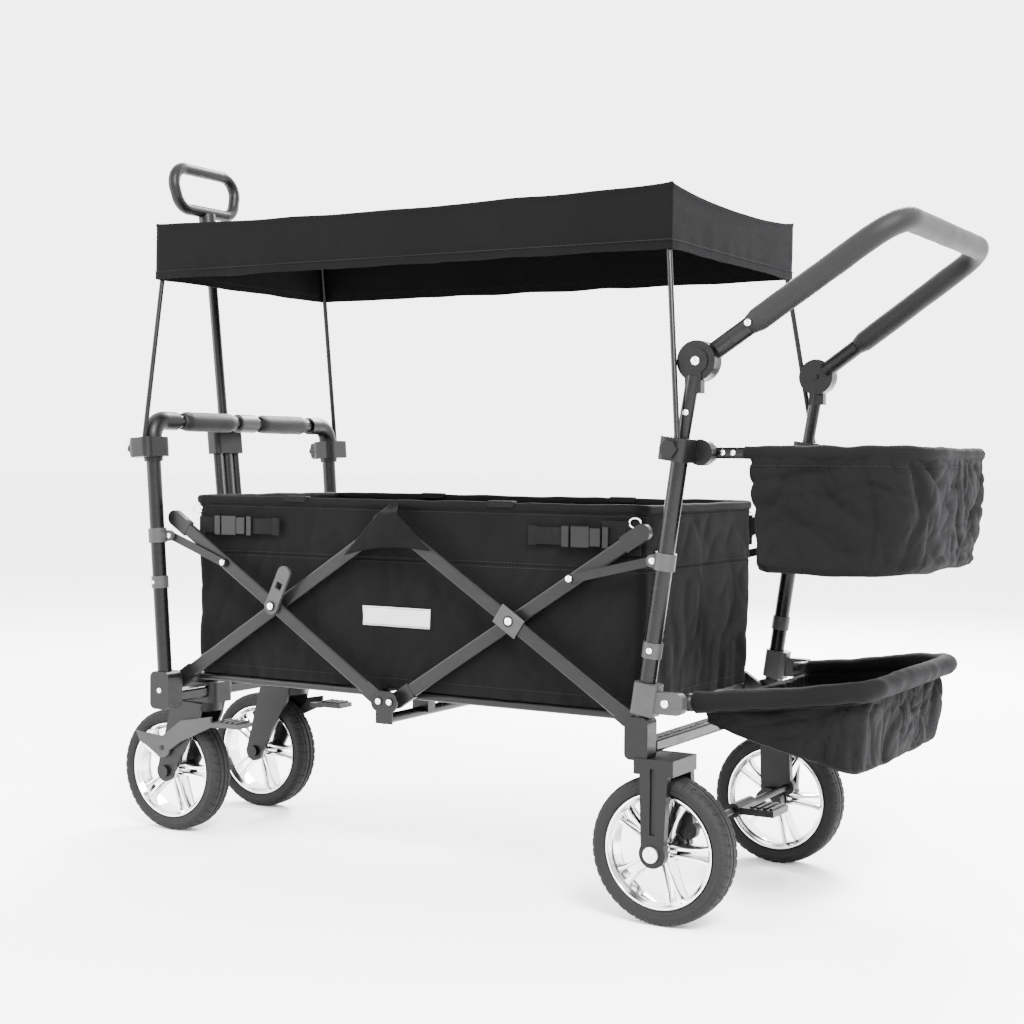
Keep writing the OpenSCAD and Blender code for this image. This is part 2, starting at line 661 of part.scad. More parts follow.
module rear_axles() color("silver") place() both() {
  pin([rear_wheel_x, wheel_r], fork_in_y - 14, fork_out_y + leg_t + 1, axle_d);
  pin([rear_wheel_x, wheel_r], fork_out_y + leg_t + gap, fork_out_y + leg_t + 6, 22);
}
drum_d = 44;
module rear_brake_drums() color("black") place() both() difference() {
  union() {
    pin([rear_wheel_x, wheel_r], fork_in_y - 13, fork_in_y - gap, drum_d);
    pin([rear_wheel_x, wheel_r], fork_in_y + leg_t + gap, rear_wheel_y - wheel_w / 2 - 0.6, drum_d);
  }
  pin([rear_wheel_x, wheel_r], 0, fork_out_y, axle_d + slip);
  pin(brake_rod, fork_in_y - 40, fork_in_y, 14);
}
// Brake rod across the wagon with its foot pedal in the middle
module rear_brake_pedal() color("black") place() {
  pin(brake_rod, -fork_in_y - leg_t, fork_in_y + leg_t, 10);
  difference() {
    union() {
      pin(brake_rod, -34, 34, 22);
      box([brake_rod[0], -30, brake_rod[1] - 5], [brake_rod[0] + 62, 30, brake_rod[1] + 5]);
      for (i = [0:3]) box([brake_rod[0] + 24 + i * 10, -26, brake_rod[1] + 4],
        [brake_rod[0] + 29 + i * 10, 26, brake_rod[1] + 8]);
    }
    pin(brake_rod, -40, 40, 10);
  }
}

basket_lug_y = 216;
// Post rings: one with the fold link's lug, one plain, and the lower basket's pivot blocks
module rear_post_clamps() color("darkgray") place() both() {
  difference() {
    union() {
      on_post(rear_lug[1], false) translate([0, 0, -ring_h / 2]) cylinder(d = ring_d, h = ring_h);
      slab(plate_y0 + plate_t + gap, plate_y0 + plate_t + 6) {
        translate(rear_lug) circle(d = 18);
        translate([rear_lug[0], rear_lug[1] - 9]) square([lug_reach, 18]);
      }
      on_post(385, false) translate([0, 0, -11]) cylinder(d = ring_d - 2, h = 22);
      on_post(318, false) translate([3, 2, -22]) linear_extrude(44) round_rect(36, post_d + 8, 8);
      slab(lower_y + 15, post_y + post_r) translate([478, 313]) round_rect(60, 30, 10);
    }
    rear_post_rod(post_d + slip);
  }
  pin(rear_lug, plate_y0 - 0.5, plate_y0 + plate_t + 1, 6);
  pin(lower_pivot, lower_y - 12, lower_y + 16, pin_d);
}

pole_clamp_z = 662;
module rear_pole_clamps() color("black") place() both() difference() {
  union() {
    on_post(pole_clamp_z, false) translate([0, 8, -clamp_h / 2]) linear_extrude(clamp_h) round_rect(40, 58, 12);
    slab(basket_lug_y, post_y - post_r + 4) {
      translate([505, upper_z - 14]) square([15, 28]);
      translate(upper_pivot) circle(18);
    }
    pin(upper_pivot, upper_y - 8, basket_lug_y + 1, pin_d);
    on_post(pole_clamp_z, false) translate([0, 36, 0]) rotate([-90, 0, 0]) cylinder(d = 26, h = 8, $fn = 6);
  }
  rear_post_rod(post_d + slip);
  rod(rear_pole[0], rear_pole[1], pole_d + slip);
  rod([rear_top[0], post_y, rear_top[1]], [hub[0] - 4, post_y, hub[1] - 30], arm_d + slip);
}
module rear_canopy_poles() color("dimgray") place() both() rod(rear_pole[0], rear_pole[1], pole_d);

// Inner tubes that rise from the posts and carry the fixed halves of the handle's hubs
module rear_hub_arms() color("dimgray") place() both() {
  rod([rear_x(rear_top[1] + 0.5), post_y, rear_top[1] + 0.5], [hub[0] - 4, post_y, hub[1] - 20], arm_d);
  pin(hub, hub_mid_y + 0.4, hub_out_y, hub_d);
  pin(hub, hub_out_y - 1, hub_out_y + 2, hub_d - 20);
  pin(hub, hub_in_y - 3, hub_out_y, pin_d);
  box([hub[0] - 15, hub_mid_y + 0.4, hub[1] - 44], [hub[0] + 9, hub_out_y + 2, hub[1] - 10]);
}

// ---------- push handle ----------

module on_handle() translate(at(hub, 0)) rotate([0, -handle_rise, 0]) children();
function push_line(u) = push_y + (grip_y - push_y) * (u - 22) / (handle_reach - 22);
module push_path(u0, d) bent_rod([[u0, -push_line(u0), 0], [handle_reach, -grip_y, 0],
  [handle_reach, grip_y, 0], [u0, push_line(u0), 0]], d, grip_r);
module push_tube() color("dimgray") place() on_handle() push_path(30, push_d);
module push_foam() color("black") place() on_handle() difference() {
  push_path(foam_start, foam_d);
  push_path(30, push_d + slip);
}
// Rotating halves of the hubs, each with a socket for the handle's tube
module push_hubs() color("black") place() both() difference() {
  union() {
    pin(hub, hub_in_y, hub_mid_y, hub_d);
    on_handle() rod([18, push_line(18), 0], [foam_start - 1, push_line(foam_start - 1), 0], push_d + 5);
  }
  pin(hub, 0, hub_mid_y + 1, pin_d + slip);
  pin(hub, hub_mid_y, hub_mid_y + 20, hub_d * 2);
  on_handle() push_path(30, push_d + slip);
}

// ---------- baskets ----------

upper_lug_in = upper_y - 8.5;
module upper_basket_frame() color("dimgray") place() difference() {
  union() {
    bent_rod([[upper_pivot[0], -upper_y, upper_z], [upper_rear_x, -upper_y, upper_z],
      [upper_rear_x, upper_y, upper_z], [upper_pivot[0], upper_y, upper_z]], rail_d, 110);
    both() pin(upper_pivot, upper_lug_in, basket_lug_y - gap, 26);
  }
  both() pin(upper_pivot, 0, basket_lug_y + 1, pin_d + slip);
}
// A bag outline at height z: a rectangle with two large rear corners; slope tilts it along X
module bag_slice(x0, x1, w, r, z, slope = 0)
  multmatrix([[1, 0, 0, 0], [0, 1, 0, 0], [slope, 0, 1, z - slope * x0], [0, 0, 0, 1]]) linear_extrude(1) hull() {
    for (s = [-1, 1]) {
      translate([x0 + 12, s * (w - 12)]) circle(12, $fn = 32);
      translate([x1 - r, s * (w - r)]) circle(r, $fn = 32);
    }
  }
module upper_basket_shape(t) hull() {
  bag_slice(580 + t, upper_rear_x - 9 - t, upper_y - 9 - t, 100 - t, upper_z + 4 + t / cloth);
  bag_slice(592 + t, upper_rear_x - 13 - t, upper_y - 14 - t, 94 - t, upper_z - upper_depth + t);
}
module upper_basket_bag() color("black") place() difference() {
  upper_basket_shape(0);
  upper_basket_shape(cloth);
}
module lower_path(d) bent_rod([at(lower_pivot, -lower_y), at(lower_rear, -lower_y),
  at(lower_rear, lower_y), at(lower_pivot, lower_y)], d, 60);
module lower_basket_frame() color("black") place() difference() {
  lower_path(pad_d);
  both() pin(lower_pivot, 0, lower_y + 20, pin_d + slip);
}
lower_top_slope = (lower_rear[1] - lower_pivot[1]) / (lower_rear[0] - lower_pivot[0]);
lower_bottom_slope = -0.24;
module lower_basket_shape(t) hull() {
  bag_slice(516 + t, lower_rear[0] - 16 - t, lower_y - 16 - t, 46 - t, 318 + t / cloth, lower_top_slope);
  bag_slice(518 + t, lower_rear[0] - 22 - t, lower_y - 22 - t, 42 - t, 284 + t, lower_bottom_slope);
}
module lower_basket_bag() color("black") place() difference() {
  lower_basket_shape(0);
  lower_basket_shape(cloth);
}

front_posts();
front_beam();
front_foot_brackets();
front_post_clamps();
crossbar_tube();
crossbar_elbows();
crossbar_foam();
drawbar_clip();
caster_mounts();
front_pole_clamps();
front_canopy_poles();
canopy_fabric();
tub_fabric();
drawbar_yoke();
drawbar_sleeve();
drawbar_shaft();
drawbar_grip();
caster_fork_left();
caster_fork_right();
caster_tyre_left();
caster_tyre_right();
caster_rim_left();
caster_rim_right();
caster_brake_left();
caster_brake_right();
front_knob_left();
front_knob_right();
front_outer_bars();
front_inner_bars();
rear_outer_bars();
rear_inner_bars();
top_centre_brackets();
bottom_centre_frame();
side_flaps();
floor_panel_front();
floor_panel_rear();
fold_latch();
front_links();
rear_links();
rear_posts();
rear_beam();
rear_forks();
rear_post_clamps();
rear_hub_arms();
rear_pole_clamps();
rear_canopy_poles();
rear_tyre_left();
rear_tyre_right();
rear_rim_left();
rear_rim_right();
rear_axles();
rear_brake_drums();
rear_brake_pedal();
push_tube();
push_foam();
push_hubs();
upper_basket_frame();
upper_basket_bag();
lower_basket_frame();
lower_basket_bag();
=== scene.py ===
import math

import bmesh
import bpy
from mathutils import Matrix, Vector, noise


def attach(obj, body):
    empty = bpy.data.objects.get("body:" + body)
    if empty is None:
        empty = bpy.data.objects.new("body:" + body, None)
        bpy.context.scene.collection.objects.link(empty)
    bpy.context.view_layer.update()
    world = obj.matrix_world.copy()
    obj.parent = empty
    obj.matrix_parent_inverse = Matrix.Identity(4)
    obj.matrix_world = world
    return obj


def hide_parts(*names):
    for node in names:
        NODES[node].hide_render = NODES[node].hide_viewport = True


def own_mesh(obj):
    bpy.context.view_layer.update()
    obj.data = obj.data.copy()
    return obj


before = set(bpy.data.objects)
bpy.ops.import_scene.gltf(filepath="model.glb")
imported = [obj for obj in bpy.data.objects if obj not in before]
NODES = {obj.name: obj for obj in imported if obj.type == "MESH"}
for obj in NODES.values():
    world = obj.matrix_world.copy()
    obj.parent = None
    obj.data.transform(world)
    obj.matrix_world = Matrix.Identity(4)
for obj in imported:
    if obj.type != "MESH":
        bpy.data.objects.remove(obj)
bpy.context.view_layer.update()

# ---------- the working frame ----------
# Lengths below are millimetres from the scissor centre, as in the part's own source;
# row() turns them into the row frame's metres.
SHIFT_X = -100.0
HALF_LEN, PIVOT_LOW, PIVOT_HIGH, CENTRE_GAP = 425.0, 275.0, 545.0, 10.0
CROSS_Z = (PIVOT_LOW + PIVOT_HIGH) / 2
CROSS_PLATE_Y = 228.1
TUB_X0, TUB_X1, TUB_Y, TUB_Z0, RIM_Z = -402.0, 421.0, 200.0, 290.0, 575.0
CANOPY_X0, CANOPY_X1, CANOPY_Y, CANOPY_Z, VALANCE = -464.0, 474.0, 231.0, 1031.0, 93.0
UPPER_Z, UPPER_Y, UPPER_X0, UPPER_X1 = 658.0, 205.0, 520.0, 807.0
LOWER_PIVOT, LOWER_REAR, LOWER_Y = (498.0, 313.0), (752.0, 345.0), 222.0
HUB = (517.0, 782.0)
HANDLE_RISE = math.radians(34.4)
SIDES = (1, -1)


def row(p):
    """A working point in millimetres as a row-frame point in metres."""
    return Vector(((p[0] + SHIFT_X) / 1000, p[1] / 1000, p[2] / 1000))


# ---------- materials ----------
def material(name):
    m = bpy.data.materials.new(name)
    m.use_nodes = True
    nt = m.node_tree
    nt.nodes.clear()
    out = nt.nodes.new("ShaderNodeOutputMaterial")
    bsdf = nt.nodes.new("ShaderNodeBsdfPrincipled")
    nt.links.new(bsdf.outputs[0], out.inputs[0])
    return m, nt, bsdf


def coords(nt, scale, rotation=(0, 0, 0)):
    tc = nt.nodes.new("ShaderNodeTexCoord")
    mp = nt.nodes.new("ShaderNodeMapping")
    mp.inputs["Scale"].default_value = scale
    mp.inputs["Rotation"].default_value = rotation
    nt.links.new(tc.outputs["Object"], mp.inputs["Vector"])
    return mp.outputs["Vector"]


def noise_tex(nt, vector, scale, detail=4.0, rough=0.55):
    n = nt.nodes.new("ShaderNodeTexNoise")
    n.inputs["Scale"].default_value = scale
    n.inputs["Detail"].default_value = detail
    n.inputs["Roughness"].default_value = rough
    nt.links.new(vector, n.inputs["Vector"])
    return n.outputs["Fac"]


def ramp(nt, fac, stops):
    r = nt.nodes.new("ShaderNodeValToRGB")
    els = r.color_ramp.elements
    while len(els) < len(stops):
        els.new(0.5)
    for e, (pos, col) in zip(els, stops):
        e.position = pos
        e.color = (*col, 1) if len(col) == 3 else col
    nt.links.new(fac, r.inputs["Fac"])
    return r.outputs["Color"]


def math_node(nt, op, a, b=None, clamp=False):
    n = nt.nodes.new("ShaderNodeMath")
    n.operation = op
    n.use_clamp = clamp
    for i, v in enumerate((a, b)):
        if v is None:
            continue
        if isinstance(v, (int, float)):
            n.inputs[i].default_value = v
        else:
            nt.links.new(v, n.inputs[i])
    return n.outputs[0]


def bump(nt, height, strength, distance, bsdf, normal=None):
    b = nt.nodes.new("ShaderNodeBump")
    b.inputs["Strength"].default_value = strength
    b.inputs["Distance"].default_value = distance
    nt.links.new(height, b.inputs["Height"])
    if normal is not None:
        nt.links.new(normal, b.inputs["Normal"])
    nt.links.new(b.outputs[0], bsdf.inputs["Normal"])
    return b.outputs[0]


def grey(v, tint=1.0):
    return (v, v, v * tint)


def wave(nt, vector, scale, direction, profile="SIN"):
    w = nt.nodes.new("ShaderNodeTexWave")
    w.wave_type = "BANDS"
    w.bands_direction = direction
    w.wave_profile = profile
    w.inputs["Scale"].default_value = scale
    nt.links.new(vector, w.inputs["Vector"])
    return w.outputs["Fac"]


def fabric(name, dark, light, rough=0.82, sheen=0.12, thread=900.0, weave_bump=0.35):
    """Woven polyester: crossed threads, slubs, slow colour drift and dusty raised folds."""
    m, nt, bsdf = material(name)
    v = coords(nt, (1, 1, 1))
    warp = math_node(nt, "MAXIMUM", wave(nt, v, thread, "X"), wave(nt, v, thread, "Y"))
    weave = math_node(nt, "MULTIPLY", warp, wave(nt, v, thread, "Z"))
    slub = noise_tex(nt, coords(nt, (40, 40, 400)), 3.0, 3.0)
    drift = noise_tex(nt, v, 7.0, 5.0, 0.6)
    mixed = math_node(nt, "ADD", math_node(nt, "MULTIPLY", drift, 0.7), math_node(nt, "MULTIPLY", slub, 0.3))
    colour = ramp(nt, mixed, [(0.3, grey(dark, 1.06)), (0.7, grey(light, 1.05))])
    nt.links.new(colour, bsdf.inputs["Base Color"])
    matt = ramp(nt, mixed, [(0.2, grey(rough - 0.08)), (0.8, grey(rough + 0.08))])
    nt.links.new(matt, bsdf.inputs["Roughness"])
    bsdf.inputs["Sheen Weight"].default_value = sheen
    bsdf.inputs["Sheen Roughness"].default_value = 0.45
    bsdf.inputs["Sheen Tint"].default_value = (0.12, 0.12, 0.13, 1)
    bsdf.inputs["Specular IOR Level"].default_value = 0.04
    height = math_node(nt, "ADD", math_node(nt, "MULTIPLY", weave, 0.5), math_node(nt, "MULTIPLY", slub, 0.5))
    fine = bump(nt, height, weave_bump, 0.0006, bsdf)
    crease = noise_tex(nt, coords(nt, (1, 1, 0.6)), 26.0, 3.0, 0.5)
    bump(nt, crease, 0.22, 0.004, bsdf, fine)
    return m


def coated(name, base, rough=0.38, edge=0.06, metallic=0.0, grain=900.0, grain_bump=0.12):
    """Powder coat or moulded plastic: fine grain, handling marks and paler scuffs."""
    m, nt, bsdf = material(name)
    v = coords(nt, (1, 1, 1))
    grainy = noise_tex(nt, v, grain, 2.0)
    marks = noise_tex(nt, coords(nt, (6, 6, 30)), 4.0, 6.0, 0.65)
    scuffs = noise_tex(nt, coords(nt, (20, 20, 90)), 3.0, 8.0, 0.75)
    worn = ramp(nt, scuffs, [(0.62, grey(0.0)), (0.72, grey(0.8))])
    mix = nt.nodes.new("ShaderNodeMix")
    mix.data_type = "RGBA"
    nt.links.new(worn, mix.inputs["Factor"])
    body = ramp(nt, marks, [(0.25, grey(base * 0.8, 1.03)), (0.75, grey(base * 1.2, 1.03))])
    nt.links.new(body, mix.inputs["A"])
    mix.inputs["B"].default_value = (*grey(edge), 1)
    nt.links.new(mix.outputs["Result"], bsdf.inputs["Base Color"])
    matt = ramp(nt, marks, [(0.2, grey(rough - 0.09)), (0.8, grey(rough + 0.1))])
    nt.links.new(matt, bsdf.inputs["Roughness"])
    bsdf.inputs["Metallic"].default_value = metallic
    bsdf.inputs["Specular IOR Level"].default_value = 0.16
    bump(nt, grainy, grain_bump, 0.0004, bsdf)
    return m


def rubber(name, base, rough=0.72):
    """Matt tyre rubber: dusty, with a faint sidewall grain."""
    m, nt, bsdf = material(name)
    dust = noise_tex(nt, coords(nt, (1, 1, 1)), 18.0, 8.0, 0.7)
    grain = noise_tex(nt, coords(nt, (1, 1, 1)), 700.0, 2.0)
    colour = ramp(nt, dust, [(0.3, grey(base * 0.7)), (0.72, grey(base * 1.35))])
    nt.links.new(colour, bsdf.inputs["Base Color"])
    matt = ramp(nt, dust, [(0.2, grey(rough - 0.1)), (0.8, grey(rough + 0.12))])
    nt.links.new(matt, bsdf.inputs["Roughness"])
    bsdf.inputs["Specular IOR Level"].default_value = 0.15
    bump(nt, grain, 0.25, 0.0005, bsdf)
    return m


def foam(name, base):
    """Closed-cell foam: soft sheen over small open pores."""
    m, nt, bsdf = material(name)
    vor = nt.nodes.new("ShaderNodeTexVoronoi")
    vor.inputs["Scale"].default_value = 900.0
    nt.links.new(coords(nt, (1, 1, 1)), vor.inputs["Vector"])
    rub = noise_tex(nt, coords(nt, (1, 1, 1)), 14.0, 5.0)
    nt.links.new(ramp(nt, rub, [(0.3, grey(base * 0.8)), (0.7, grey(base * 1.3))]), bsdf.inputs["Base Color"])
    nt.links.new(ramp(nt, rub, [(0.2, grey(0.5)), (0.8, grey(0.66))]), bsdf.inputs["Roughness"])
    bsdf.inputs["Specular IOR Level"].default_value = 0.16
    bsdf.inputs["Sheen Weight"].default_value = 0.03
    bsdf.inputs["Sheen Roughness"].default_value = 0.5
    bump(nt, vor.outputs["Distance"], 0.3, 0.0008, bsdf)
    return m


def metal(name, base, rough, brushed=False):
    """Bright plated or brushed metal with faint scratches and uneven polish."""
    m, nt, bsdf = material(name)
    scale = (3, 3, 300) if brushed else (1, 1, 1)
    streak = noise_tex(nt, coords(nt, scale), 12.0, 6.0, 0.6)
    nt.links.new(ramp(nt, streak, [(0.2, grey(base * 0.85)), (0.8, grey(base))]), bsdf.inputs["Base Color"])
    nt.links.new(ramp(nt, streak, [(0.25, grey(rough)), (0.8, grey(rough + 0.14))]), bsdf.inputs["Roughness"])
    bsdf.inputs["Metallic"].default_value = 1.0
    bump(nt, streak, 0.04, 0.0005, bsdf)
    return m


M = {
    "canopy": fabric("canopy_cloth", 0.0009, 0.002),
    "tub": fabric("tub_cloth", 0.0012, 0.003),
    "basket": fabric("basket_cloth", 0.0016, 0.0038, thread=800.0),
    "binding": fabric("binding_tape", 0.0008, 0.0018, rough=0.7, thread=1300.0, weave_bump=0.5),
    "webbing": fabric("webbing", 0.002, 0.005, rough=0.7, thread=600.0, weave_bump=0.9),
    "thread": fabric("sewing_thread", 0.005, 0.012, rough=0.6, thread=2500.0),
    "mesh_label": fabric("plain_label", 0.3, 0.4, rough=0.6, sheen=0.1, thread=1500.0),
    "tube": coated("black_powder_coat", 0.0015, rough=0.28, edge=0.008),
    "bar": coated("dark_bar_coat", 0.0032, rough=0.34, edge=0.012),
    "plastic": coated("black_plastic", 0.0015, rough=0.4, edge=0.006, grain=500.0, grain_bump=0.2),
    "grey": coated("grey_plastic", 0.022, rough=0.42, edge=0.04, grain=500.0, grain_bump=0.2),
    "tyre": rubber("tyre_rubber", 0.0055),
    "foam": foam("grip_foam", 0.0016),
    "chrome": metal("chrome_plate", 0.86, 0.07),
    "steel": metal("zinc_plate", 0.7, 0.22, brushed=True),
}

BY_NODE = {
    "tube": [
        "front_posts", "front_beam", "crossbar_tube", "front_canopy_poles", "drawbar_yoke",
        "drawbar_shaft", "rear_posts", "rear_beam", "rear_hub_arms", "rear_canopy_poles",
        "push_tube", "upper_basket_frame", "bottom_centre_frame",
    ],
    "bar": [
        "front_outer_bars", "front_inner_bars", "rear_outer_bars", "rear_inner_bars", "front_links",
        "rear_links",
    ],
    "plastic": [
        "front_foot_brackets", "crossbar_elbows", "caster_mounts", "front_pole_clamps",
        "drawbar_sleeve", "drawbar_grip", "caster_fork_left", "caster_fork_right",
        "front_knob_left", "front_knob_right", "floor_panel_front", "floor_panel_rear",
        "rear_forks", "rear_pole_clamps", "rear_brake_drums", "rear_brake_pedal", "push_hubs",
    ],
    "grey": [
        "front_post_clamps", "rear_post_clamps", "drawbar_clip", "fold_latch",
        "top_centre_brackets", "caster_brake_left", "caster_brake_right",
    ],
    "foam": ["crossbar_foam", "push_foam"],
    "chrome": ["caster_rim_left", "caster_rim_right", "rear_rim_left", "rear_rim_right"],
    "tyre": ["caster_tyre_left", "caster_tyre_right", "rear_tyre_left", "rear_tyre_right"],
    "steel": ["rear_axles"],
    "tub": [
        "tub_fabric", "side_flaps", "upper_basket_bag", "lower_basket_bag", "canopy_fabric",
        "lower_basket_frame",
    ],
}
for key, names in BY_NODE.items():
    for n in names:
        NODES[n].data.materials.clear()
        NODES[n].data.materials.append(M[key])


# ---------- mesh helpers ----------
def piece(name, verts, faces, mat, body, slot, smooth=True):
    """A mesh object from row-frame metres that rides on a body."""
    me = bpy.data.meshes.new(name)
    me.from_pydata([tuple(v) for v in verts], [], faces)
    me.validate()
    bm = bmesh.new()
    bm.from_mesh(me)
    bmesh.ops.remove_doubles(bm, verts=bm.verts, dist=1e-6)
    bmesh.ops.recalc_face_normals(bm, faces=bm.faces)
    bm.to_mesh(me)
    bm.free()
    ob = bpy.data.objects.new(name, me)
    bpy.context.scene.collection.objects.link(ob)
    me.materials.append(M[mat])
    for p in me.polygons:
        p.use_smooth = smooth
    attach(ob, body)
    return ob


def apply(ob):
    bpy.context.view_layer.objects.active = ob
    bpy.ops.object.select_all(action="DESELECT")
    ob.select_set(True)
    for mod in list(ob.modifiers):
        bpy.ops.object.modifier_apply(modifier=mod.name)


def solidify(ob, t, offset=-1.0):
    m = ob.modifiers.new("t", "SOLIDIFY")
    m.thickness = t
    m.offset = offset
    m.use_even_offset = False
    apply(ob)


def grid_faces(rows, cols, closed=False):
    span = cols if closed else cols - 1
    return [
        (r * cols + c, r * cols + (c + 1) % cols, (r + 1) * cols + (c + 1) % cols, (r + 1) * cols + c)
        for r in range(rows - 1)
        for c in range(span)
    ]


def rounded_loop(x0, x1, y, r_front, r_rear, step=6.0):
    """Points round a rectangle with round corners, as (x, y, nx, ny), counter-clockwise from the front."""
    pts = []
    corners = [
        (x1 - r_rear, -y + r_rear, r_rear, -90),
        (x1 - r_rear, y - r_rear, r_rear, 0),
        (x0 + r_front, y - r_front, r_front, 90),
        (x0 + r_front, -y + r_front, r_front, 180),
    ]
    arcs = []
    for cx, cy, r, a0 in corners:
        n = max(3, int(r * math.pi / 2 / step) + 1)
        turns = [math.radians(a0 + 90 * i / n) for i in range(n + 1)]
        arcs.append([(cx + r * math.cos(a), cy + r * math.sin(a), math.cos(a), math.sin(a)) for a in turns])
    for i, arc in enumerate(arcs):
        pts += arc
        a, b = arc[-1], arcs[(i + 1) % 4][0]
        d = math.hypot(b[0] - a[0], b[1] - a[1])
        n = int(d / step)
        for k in range(1, n):
            pts.append((a[0] + (b[0] - a[0]) * k / n, a[1] + (b[1] - a[1]) * k / n, a[2], a[3]))
    return pts


def unit(x):
    """x held between 0 and 1."""
    return min(1.0, max(0.0, x))


def fold(p, scale, power=2.0):
    """Ridged noise from 0 to 1 for creases; p is a Vector in metres."""
    return (1 - abs(noise.noise(p * scale))) ** power


def fan(verts, faces, ring):
    """Closes a ring of verts with triangles to their middle."""
    verts.append(sum((verts[i] for i in ring), Vector()) / len(ring))
    n = len(ring)
    faces += [(ring[(k + 1) % n], ring[k], len(verts) - 1) for k in range(n)]


def smooth_step(a, b, x):
    t = unit((x - a) / (b - a))
    return t * t * (3 - 2 * t)


def tube_mesh(path, radius, sides=16, closed=False, wobble=0.0, flat=1.0, seed=0.0):
    """Verts and faces of a tube swept along row-frame points; flat squeezes it towards its path's plane."""
    n = len(path)
    verts = []
    up = Vector((0, 0, 1))
    for i, p in enumerate(path):
        a = path[(i - 1) % n] if closed or i else p
        b = path[(i + 1) % n] if closed or i < n - 1 else p
        t = (b - a).normalized()
        s = t.cross(up)
        if s.length < 1e-4:
            s = Vector((0, 1, 0))
        s.normalize()
        w = s.cross(t)
        for k in range(sides):
            an = 2 * math.pi * k / sides
            r = radius(i / (n - 1)) if callable(radius) else radius
            d = s * math.cos(an) * flat + w * math.sin(an)
            q = p + d * r
            if wobble:
                q = q + d * wobble * noise.noise(q * 30 + Vector((seed, 0, 0)))
            verts.append(q)
    faces = grid_faces(n + (1 if closed else 0), sides, True)
    if closed:
        faces = [tuple(v % (n * sides) for v in f) for f in faces]
    else:
        faces += [tuple(range(sides))[::-1], tuple((n - 1) * sides + k for k in range(sides))]
    return verts, faces


def merge(parts):
    verts, faces = [], []
    for v, f in parts:
        o = len(verts)
        verts += list(v)
        faces += [tuple(i + o for i in q) for q in f]
    return verts, faces


CUBE = [(x, y, z) for x in (-0.5, 0.5) for y in (-0.5, 0.5) for z in (-0.5, 0.5)]
CUBE_FACES = [(0, 1, 3, 2), (4, 6, 7, 5), (0, 4, 5, 1), (2, 3, 7, 6), (0, 2, 6, 4), (1, 5, 7, 3)]


def bevelled(size, bevel):
    """A bevelled box at the origin as verts and faces; size in metres."""
    bm = bmesh.new()
    bmesh.ops.create_cube(bm, size=1.0)
    bmesh.ops.scale(bm, vec=Vector(size), verts=bm.verts)
    bmesh.ops.bevel(bm, geom=bm.edges[:], offset=bevel, segments=3, profile=0.7, affect="EDGES")
    bm.verts.ensure_lookup_table()
    v = [x.co.copy() for x in bm.verts]
    f = [tuple(x.index for x in q.verts) for q in bm.faces]
    bm.free()
    return v, f


def block(centre, size, rot=None, bevel=0.0):
    """A box as verts and faces, turned by rot about its centre; centre in row metres, size in metres."""
    if bevel:
        v, f = bevelled(size, bevel)
    else:
        v, f = [Vector((c[0] * size[0], c[1] * size[1], c[2] * size[2])) for c in CUBE], CUBE_FACES
    return [centre + (rot @ q if rot else q) for q in v], f


def dome(centre, axis, r, h, rings=5, sides=20):
    """A domed rivet head as verts and faces, standing on centre along axis."""
    axis = Vector(axis).normalized()
    u = axis.orthogonal().normalized()
    w = axis.cross(u)
    verts = []
    for i in range(rings + 1):
        a = math.pi / 2 * i / rings
        for k in range(sides):
            an = 2 * math.pi * k / sides
            out = u * math.cos(an) + w * math.sin(an)
            verts.append(centre + out * r * max(0.02, math.cos(a)) + axis * h * math.sin(a))
    faces = grid_faces(rings + 1, sides, True)
    faces += [tuple(range(sides))[::-1], tuple(rings * sides + k for k in range(sides))]
    return verts, faces


# ---------- camera, floor and light ----------
def make_camera():
    cam = bpy.data.cameras.new("camera")
    cam.lens, cam.sensor_width = 59.35, 36.0
    cam.clip_end = 200
    ob = bpy.data.objects.new("camera", cam)
    bpy.context.scene.collection.objects.link(ob)
    right = Vector((0.86269, 0.50565, 0.00919))
    up = Vector((-0.02357, 0.02204, 0.99948))
    back = Vector((0.50518, -0.86246, 0.03093))
    turn = Matrix((right, up, back)).transposed().to_4x4()
    ob.matrix_world = Matrix.Translation(row((1462.7, -2346.4, 645.7))) @ turn
    bpy.context.scene.camera = ob


def make_stage():
    bm = bmesh.new()
    bmesh.ops.create_circle(bm, cap_ends=True, segments=96, radius=60)
    me = bpy.data.meshes.new("floor")
    bm.to_mesh(me)
    bm.free()
    floor = bpy.data.objects.new("floor", me)
    bpy.context.scene.collection.objects.link(floor)
    m, _, bsdf = material("pale_floor")
    bsdf.inputs["Base Color"].default_value = (0.93, 0.93, 0.93, 1)
    bsdf.inputs["Roughness"].default_value = 0.9
    bsdf.inputs["Specular IOR Level"].default_value = 0.1
    me.materials.append(m)
    world = bpy.data.worlds.new("world")
    world.use_nodes = True
    world.node_tree.nodes["Background"].inputs[0].default_value = (1, 1, 1, 1)
    world.node_tree.nodes["Background"].inputs[1].default_value = 5.0
    bpy.context.scene.world = world
    lights = [
        ("key", (2.4, -2.2, 3.0), 700, 1.4),
        ("fill", (-3.2, -2.4, 1.6), 200, 2.0),
        ("rim", (-0.8, 3.2, 2.8), 700, 1.6),
    ]
    for name, pos, power, size in lights:
        li = bpy.data.lights.new(name, "AREA")
        li.energy, li.size = power, size
        ob = bpy.data.objects.new(name, li)
        bpy.context.scene.collection.objects.link(ob)
        ob.location = pos
        ob.rotation_euler = (Vector((0, 0, 0.5)) - Vector(pos)).to_track_quat("-Z", "Y").to_euler()


make_camera()
make_stage()


